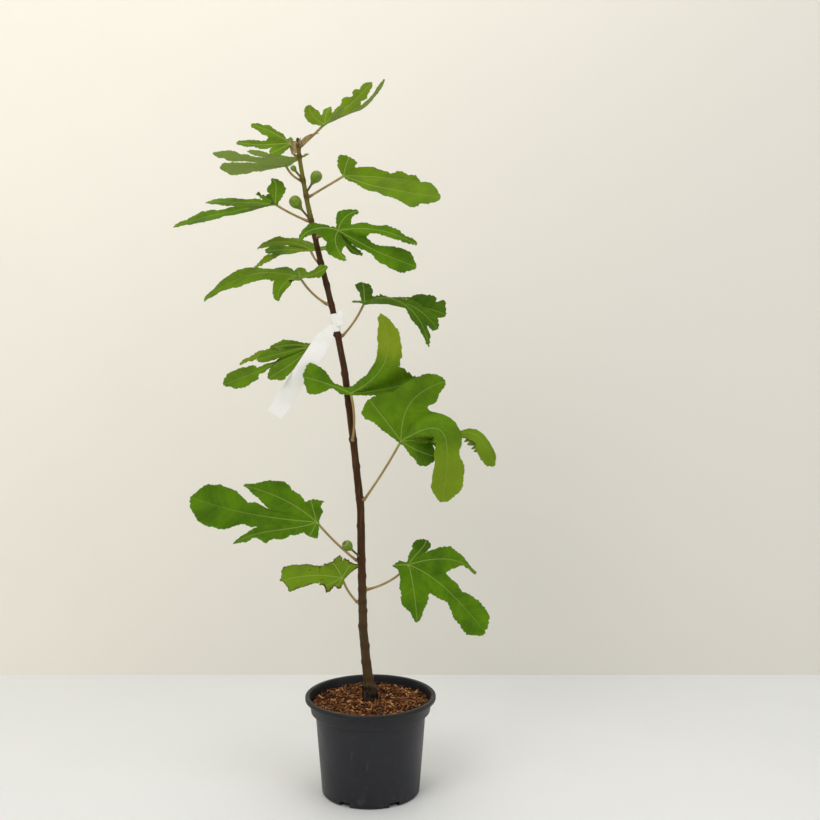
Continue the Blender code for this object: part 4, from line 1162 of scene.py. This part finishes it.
def make_label(look):
    """The blank label: a loop locked round the stem, its tab, and the strip that hangs down to the left."""
    half = LABEL_RING_TALL / 2.0
    middle = (trunk_point(LABEL_HEIGHT - half) + trunk_point(LABEL_HEIGHT + half)) / 2.0
    lean = trunk_point(LABEL_HEIGHT + half) - trunk_point(LABEL_HEIGHT - half)
    shape = bmesh.new()
    verts = [shape.verts.new((LABEL_RING_RADIUS * MM, 0.0, side * half * MM)) for side in (-1.0, 1.0)]
    edge = shape.edges.new(verts)
    bmesh.ops.spin(shape, geom=verts + [edge], cent=(0.0, 0.0, 0.0), axis=(0.0, 0.0, 1.0), dvec=(0.0, 0.0, 0.0),
                   angle=2.0 * math.pi, steps=LABEL_SEGMENTS, use_merge=True, use_normal_flip=False,
                   use_duplicate=False)
    turn = Vector((0.0, 0.0, 1.0)).rotation_difference(Vector(lean)).to_matrix().to_4x4()
    bmesh.ops.transform(shape, matrix=Matrix.Translation(Vector(middle * MM)) @ turn, verts=shape.verts[:])
    strips = (
        (LABEL_HEADING, LABEL_START, LABEL_LENGTH, LABEL_NECK, LABEL_WIDTH, LABEL_NECK_LENGTH, LABEL_BULGE, 0.0),
        (LABEL_HEADING + 180.0, 1.0, 17.0, 14.0, 6.0, 17.0, 1.0, 0.5),
        (LABEL_HEADING - 118.0, 2.0, 12.0, 9.0, 3.0, 12.0, 1.5, 0.9),
    )
    for heading, begin, length, neck, width, taper, bulge, lift in strips:
        grid = bmesh.ops.create_grid(shape, x_segments=6, y_segments=40, size=0.5)["verts"]
        start = middle + place(heading, begin, LABEL_RING_RADIUS + lift)
        for vert in grid:
            share = vert.co.y + 0.5
            run = share * length
            wide = neck + (width - neck) * float(smooth_step(run / taper))
            swell = bulge * math.sin(math.pi * share) - 0.6 * (2.0 * vert.co.x) ** 2
            where = start + place(heading, run, swell) + place(heading + 90.0, vert.co.x * wide)
            vert.co = Vector(where * MM)
    bmesh.ops.solidify(shape, geom=shape.faces[:], thickness=look.thickness)
    return finished("tie_label", shape, [label_finish(look)], "label", 40.0)


def stage_finish(name, colour, roughness, painted_shade_colour=None):
    """A plain pale surface; with a second colour it goes to that at the right and below, as painted shade where the
    light falls off, and is open to a camera behind it.
    """
    made = Finish(name, roughness, 0.3)
    paler = [min(value * 1.02, 1.0) for value in colour]
    plain = made.mix(made.step(made.noise(3.0, 3.0), 0.3, 0.7), colour, paler)
    if painted_shade_colour is not None:
        behind = made.math("MULTIPLY", made.node("NewGeometry", "Backfacing", {}), made.node("LightPath", 0, {}))
        made.feed(made.shader.inputs["Alpha"], made.math("SUBTRACT", 1.0, behind))
        # Painted shade: the wall goes to its darker colour towards the right and below, where the light falls off.
        where = made.node("SeparateXYZ", "X", {0: made.place()})
        painted_shade_slope = made.math("SUBTRACT", where, made.math("MULTIPLY", where.node.outputs["Z"], 0.6))
        plain = made.mix(made.step(painted_shade_slope, -1.35, 0.25), plain, painted_shade_colour)
    made.colour(plain)
    return made.material


def make_panel(name, size, matrix, material):
    """A flat piece of the stage."""
    shape = bmesh.new()
    bmesh.ops.create_grid(shape, x_segments=2, y_segments=2, size=size / 2.0, matrix=matrix)
    item = loose_object(name, shape)
    item.data.materials.append(material)


def make_lamp(name, look_at, where, size, power, colour):
    """A soft square lamp that faces a point."""
    lamp = bpy.data.lights.new(name, "AREA")
    lamp.shape = "SQUARE"
    lamp.size = size
    lamp.energy = power
    lamp.color = colour
    item = bpy.data.objects.new(name, lamp)
    item.location = where
    item.rotation_euler = (Vector(look_at) - Vector(where)).to_track_quat("-Z", "Y").to_euler()
    bpy.context.scene.collection.objects.link(item)


def make_stage(look):
    """The pale floor and wall, the lamps, and the camera."""
    floor = Matrix.Translation((0.0, WALL_PLACE - FLOOR_SIZE / 2.0, 0.0))
    make_panel("floor", FLOOR_SIZE, floor, stage_finish("Floor", look.floor, 0.5))
    wall = Matrix.Translation((0.0, WALL_PLACE, FLOOR_SIZE / 2.0)) @ Matrix.Rotation(math.radians(90.0), 4, "X")
    # Painted shade: the wall darkens to its second colour at the right and below.
    make_panel("wall", FLOOR_SIZE, wall, stage_finish("Wall", look.wall, 0.8, look.wall_painted_shade))
    middle = (0.0, 0.0, 0.5)
    make_lamp("key_lamp", middle, (-1.3, -1.9, 2.5), 1.6, look.key_power, look.key_colour)
    make_lamp("fill_lamp", middle, (1.9, -1.6, 1.5), 1.8, look.fill_power, look.fill_colour)
    make_lamp("top_lamp", middle, (0.1, -0.2, 2.8), 1.6, look.top_power, look.key_colour)
    world = bpy.data.worlds.new("Studio")
    world.use_nodes = True
    sky = world.node_tree.nodes["Background"]
    sky.inputs["Color"].default_value = (*look.air, 1.0)
    sky.inputs["Strength"].default_value = look.air_power
    bpy.context.scene.world = world
    bpy.context.scene.view_settings.view_transform = "Standard"
    camera = bpy.data.cameras.new("camera")
    camera.lens = CAMERA_LENS
    item = bpy.data.objects.new("camera", camera)
    item.location = CAMERA_PLACE
    item.rotation_euler = (math.radians(90.0 - CAMERA_PITCH), 0.0, 0.0)
    bpy.context.scene.collection.objects.link(item)
    bpy.context.scene.camera = item


def colour_property(name, description, default):
    """A colour setting."""
    return FloatVectorProperty(name=name, description=description, default=default, min=0.0, max=1.0, subtype="COLOR")


class PotSettings(bpy.types.PropertyGroup):
    """Sizes and colours of the pot."""

    wall: FloatProperty(name="Wall", description="Thickness of the pot's wall in millimetres", default=1.6, min=0.8,
                        max=4.0)
    edge_round: FloatProperty(name="Edge Round", description="How far edges are rounded in millimetres",
                              default=0.7, min=0.1, max=2.0)
    segments: IntProperty(name="Segments", description="Steps round the pot", default=144, min=48, max=256)
    roughness: FloatProperty(name="Roughness", description="Roughness of the plastic", default=0.42, min=0.1,
                             max=1.0, subtype="FACTOR")
    colour: colour_property("Plastic", "Main colour of the plastic", (0.0085, 0.009, 0.0145))
    colour_pale: colour_property("Pale Plastic", "Colour of its paler clouds", (0.013, 0.014, 0.02))
    dust: colour_property("Dust", "Colour of dust and scuffs", (0.16, 0.15, 0.13))
    # Painted shade: the near-black that the plastic goes to towards the lip.
    lip: colour_property("Lip", "Colour towards the lip", (0.002, 0.002, 0.003))


class MulchSettings(bpy.types.PropertyGroup):
    """Amount, size and colours of the bark chips."""

    chips: IntProperty(name="Chips", description="How many chips lie on the compost", default=2700, min=500,
                       max=6000)
    chip_length: FloatProperty(name="Chip Length", description="Usual length of a chip in millimetres",
                               default=8.0, min=2.0, max=15.0)
    dark: colour_property("Dark", "Colour of wet chips and gaps", (0.016, 0.005, 0.0015))
    middle: colour_property("Middle", "Colour of most chips", (0.19, 0.06, 0.012))
    bright: colour_property("Bright", "Colour of dry, fresh chips", (0.62, 0.31, 0.11))


class TrunkSettings(bpy.types.PropertyGroup):
    """Relief and colours of the bark."""

    node_swell: FloatProperty(name="Node Swell", description="How far a node stands proud in millimetres",
                              default=1.5, min=0.0, max=3.0)
    ridge: FloatProperty(name="Ridges", description="Depth of the bark's ridges in millimetres", default=0.35,
                         min=0.0, max=1.0)
    collar: colour_property("Root Collar", "Bark at the root collar", (0.006, 0.005, 0.004))
    low: colour_property("Low Bark", "Bark near the ground", (0.055, 0.038, 0.012))
    middle: colour_property("Middle Bark", "Bark half way up", (0.045, 0.016, 0.004))
    high: colour_property("High Bark", "Young bark near the top", (0.15, 0.15, 0.02))
    streak: colour_property("Streaks", "Pale streaks and pores", (0.11, 0.062, 0.02))
    node: colour_property("Nodes", "Bark at the nodes", (0.06, 0.018, 0.008))
    scale: colour_property("Bud Scale", "Papery scales at the bud", (0.22, 0.15, 0.055))
    scale_pale: colour_property("Pale Bud Scale", "Their dry edges", (0.45, 0.36, 0.17))


class LeafSettings(bpy.types.PropertyGroup):
    """Sizes, relief and colours of the leaves."""

    thickness: FloatProperty(name="Thickness", description="Thickness of the blade", default=0.0007, min=0.0003,
                             max=0.002, unit="LENGTH")
    vein_spacing: FloatProperty(name="Vein Spacing", description="Between side veins in millimetres", default=11.0,
                                min=4.0, max=30.0)
    pucker: FloatProperty(name="Pucker", description="Rise between the veins in millimetres", default=1.0, min=0.0,
                          max=3.0)
    wave: FloatProperty(name="Wave", description="Height of the blade's waves in millimetres", default=2.4,
                        min=0.0, max=8.0)
    tooth_height: FloatProperty(name="Tooth Height", description="Of the teeth round the margin in millimetres",
                                default=1.9, min=0.0, max=4.0)
    tooth_length: FloatProperty(name="Tooth Length", description="Between the teeth in millimetres", default=6.5,
                                min=3.0, max=20.0)
    ripple: FloatProperty(name="Ripple", description="Unevenness of the margin in millimetres", default=2.6,
                          min=0.0, max=5.0)
    rib_radius: FloatProperty(name="Rib Radius", description="Of a main rib at the heart in millimetres",
                              default=0.85, min=0.3, max=3.0)
    stalk_radius: FloatProperty(name="Stalk Radius", description="Of the leaf's stalk in millimetres", default=1.85,
                                min=0.8, max=4.0)
    upper: colour_property("Upper Side", "Main green of the upper side", (0.1, 0.225, 0.002))
    upper_deep: colour_property("Deep Green", "Deeper blotches of the upper side", (0.055, 0.135, 0.002))
    upper_yellow: colour_property("Yellow Green", "Where the green turns yellow", (0.23, 0.32, 0.015))
    # Painted shade: this darkest green stands in for shade on the upper side.
    upper_shaded: colour_property("Shaded Green", "The deepest green", (0.028, 0.07, 0.002))
    under: colour_property("Under Side", "Main green of the under side", (0.14, 0.205, 0.04))
    under_pale: colour_property("Pale Under Side", "Its paler parts", (0.3, 0.42, 0.09))
    vein: colour_property("Veins", "Veins and ribs", (0.28, 0.37, 0.08))
    stalk: colour_property("Stalk", "Main colour of the stalk", (0.3, 0.2, 0.06))
    stalk_pale: colour_property("Pale Stalk", "Pale streaks on the stalk", (0.46, 0.37, 0.14))
    stalk_foot: colour_property("Stalk Foot", "The stalk by the trunk", (0.13, 0.06, 0.02))
    wilted: colour_property("Wilted", "Brown margins and spots", (0.07, 0.032, 0.01))


class FigSettings(bpy.types.PropertyGroup):
    """Ribs and colours of the figs."""

    ribs: IntProperty(name="Ribs", description="Ribs round a fig", default=10, min=4, max=20)
    rib_depth: FloatProperty(name="Rib Depth", description="Depth of the ribs in millimetres", default=0.35, min=0.0,
                             max=1.5)
    colour: colour_property("Skin", "Main green of the skin", (0.17, 0.27, 0.004))
    # Deep skin is also the painted shade in the grooves between the ribs, besides random deeper patches.
    colour_deep: colour_property("Deep Skin", "Its deeper green", (0.1, 0.18, 0.003))
    colour_pale: colour_property("Pale Skin", "Flecks and the ring round the eye", (0.22, 0.29, 0.04))
    eye: colour_property("Eye", "The scales of the eye", (0.12, 0.085, 0.02))
    stalk: colour_property("Stalk", "The fig's stalk", (0.1, 0.06, 0.015))


class LabelSettings(bpy.types.PropertyGroup):
    """Thickness and colours of the label."""

    thickness: FloatProperty(name="Thickness", description="Thickness of the label", default=0.0005, min=0.0002,
                             max=0.002, unit="LENGTH")
    colour: colour_property("Plastic", "Colour of the label", (0.95, 0.95, 0.92))
    colour_worn: colour_property("Worn Plastic", "Its duller clouds", (0.88, 0.88, 0.84))


class StageSettings(bpy.types.PropertyGroup):
    """Colours of the stage and power of its lamps."""

    floor: colour_property("Floor", "Colour of the floor", (0.79, 0.81, 0.82))
    # The wall's two colours paint light falling off it: lighter at the left and above, painted shade at the right and
    # below.
    wall: colour_property("Wall", "Colour of the wall at the left and above", (0.95, 0.92, 0.83))
    wall_painted_shade: colour_property("Far Wall", "Colour of the wall at the right and below", (0.79, 0.77, 0.71))
    air: colour_property("Air", "Colour of the light from all round", (1.0, 0.98, 0.95))
    air_power: FloatProperty(name="Air Power", description="Light from all round", default=0.5, min=0.0, max=5.0)
    key_colour: colour_property("Key Colour", "Colour of the main lamp", (1.0, 0.96, 0.9))
    fill_colour: colour_property("Fill Colour", "Colour of the second lamp", (0.95, 0.97, 1.0))
    key_power: FloatProperty(name="Key Power", description="Power of the main lamp in watts", default=30.0, min=0.0,
                             max=500.0, subtype="POWER")
    fill_power: FloatProperty(name="Fill Power", description="Power of the second lamp in watts", default=12.0,
                              min=0.0, max=500.0, subtype="POWER")
    top_power: FloatProperty(name="Top Power", description="Power of the upper lamp in watts", default=16.0,
                             min=0.0, max=500.0, subtype="POWER")


class FigTreeSettings(bpy.types.PropertyGroup):
    """All settings of the fig tree."""

    pot: PointerProperty(type=PotSettings, name="Pot", description="The pot's settings")
    mulch: PointerProperty(type=MulchSettings, name="Mulch", description="The mulch's settings")
    trunk: PointerProperty(type=TrunkSettings, name="Trunk", description="The trunk's settings")
    leaf: PointerProperty(type=LeafSettings, name="Leaves", description="The leaves' settings")
    fig: PointerProperty(type=FigSettings, name="Figs", description="The figs' settings")
    label: PointerProperty(type=LabelSettings, name="Label", description="The label's settings")
    stage: PointerProperty(type=StageSettings, name="Stage", description="The stage's settings")


class FIGTREE_OT_pot(bpy.types.Operator):
    """Build the nursery pot"""

    bl_idname = "figtree.pot"
    bl_label = "Build Pot"

    def execute(self, context):
        make_pot(context.scene.fig_tree.pot)
        return {"FINISHED"}


class FIGTREE_OT_mulch(bpy.types.Operator):
    """Fill the pot with compost and bark chips"""

    bl_idname = "figtree.mulch"
    bl_label = "Build Mulch"

    def execute(self, context):
        make_compost(context.scene.fig_tree.mulch)
        return {"FINISHED"}


class FIGTREE_OT_trunk(bpy.types.Operator):
    """Build the trunk with its bark and bud"""

    bl_idname = "figtree.trunk"
    bl_label = "Build Trunk"

    def execute(self, context):
        make_trunk(context.scene.fig_tree.trunk)
        return {"FINISHED"}


class FIGTREE_OT_leaves(bpy.types.Operator):
    """Build every leaf with its stalk"""

    bl_idname = "figtree.leaves"
    bl_label = "Build Leaves"

    def execute(self, context):
        look = context.scene.fig_tree.leaf
        materials = [leaf_finish(look), stalk_finish(look)]
        for seed, (name, leaf) in enumerate(LEAVES.items()):
            make_leaf(name, leaf, seed, look, materials)
        return {"FINISHED"}


class FIGTREE_OT_figs(bpy.types.Operator):
    """Build the figs"""

    bl_idname = "figtree.figs"
    bl_label = "Build Figs"

    def execute(self, context):
        look = context.scene.fig_tree.fig
        material = fig_finish(look)
        for name, fig in FIGS.items():
            make_fig(name, fig, look, material)
        return {"FINISHED"}


class FIGTREE_OT_label(bpy.types.Operator):
    """Build the blank label"""

    bl_idname = "figtree.label"
    bl_label = "Build Label"

    def execute(self, context):
        make_label(context.scene.fig_tree.label)
        return {"FINISHED"}


class FIGTREE_OT_stage(bpy.types.Operator):
    """Build the stage, its lamps and the camera"""

    bl_idname = "figtree.stage"
    bl_label = "Build Stage"

    def execute(self, context):
        make_stage(context.scene.fig_tree.stage)
        return {"FINISHED"}


class FIGTREE_PT_panel(bpy.types.Panel):
    """Lists the steps that build the fig tree"""

    bl_idname = "FIGTREE_PT_panel"
    bl_label = "Fig Tree"
    bl_space_type = "VIEW_3D"
    bl_region_type = "UI"
    bl_category = "Fig Tree"

    def draw(self, context):
        for operator in OPERATORS:
            self.layout.operator(operator.bl_idname)


OPERATORS = (FIGTREE_OT_stage, FIGTREE_OT_pot, FIGTREE_OT_mulch, FIGTREE_OT_trunk, FIGTREE_OT_leaves,
             FIGTREE_OT_figs, FIGTREE_OT_label)
CLASSES = (PotSettings, MulchSettings, TrunkSettings, LeafSettings, FigSettings, LabelSettings, StageSettings,
           FigTreeSettings, *OPERATORS, FIGTREE_PT_panel)


def register():
    """Register the classes and the scene's settings."""
    for item in CLASSES:
        bpy.utils.register_class(item)
    bpy.types.Scene.fig_tree = PointerProperty(type=FigTreeSettings)


def unregister():
    """Take the classes and the scene's settings away."""
    del bpy.types.Scene.fig_tree
    for item in reversed(CLASSES):
        bpy.utils.unregister_class(item)


def main():
    """Build everything in order."""
    register()
    for operator in OPERATORS:
        group, name = operator.bl_idname.split(".")
        getattr(getattr(bpy.ops, group), name)()
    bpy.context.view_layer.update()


if __name__ == "__main__":
    main()
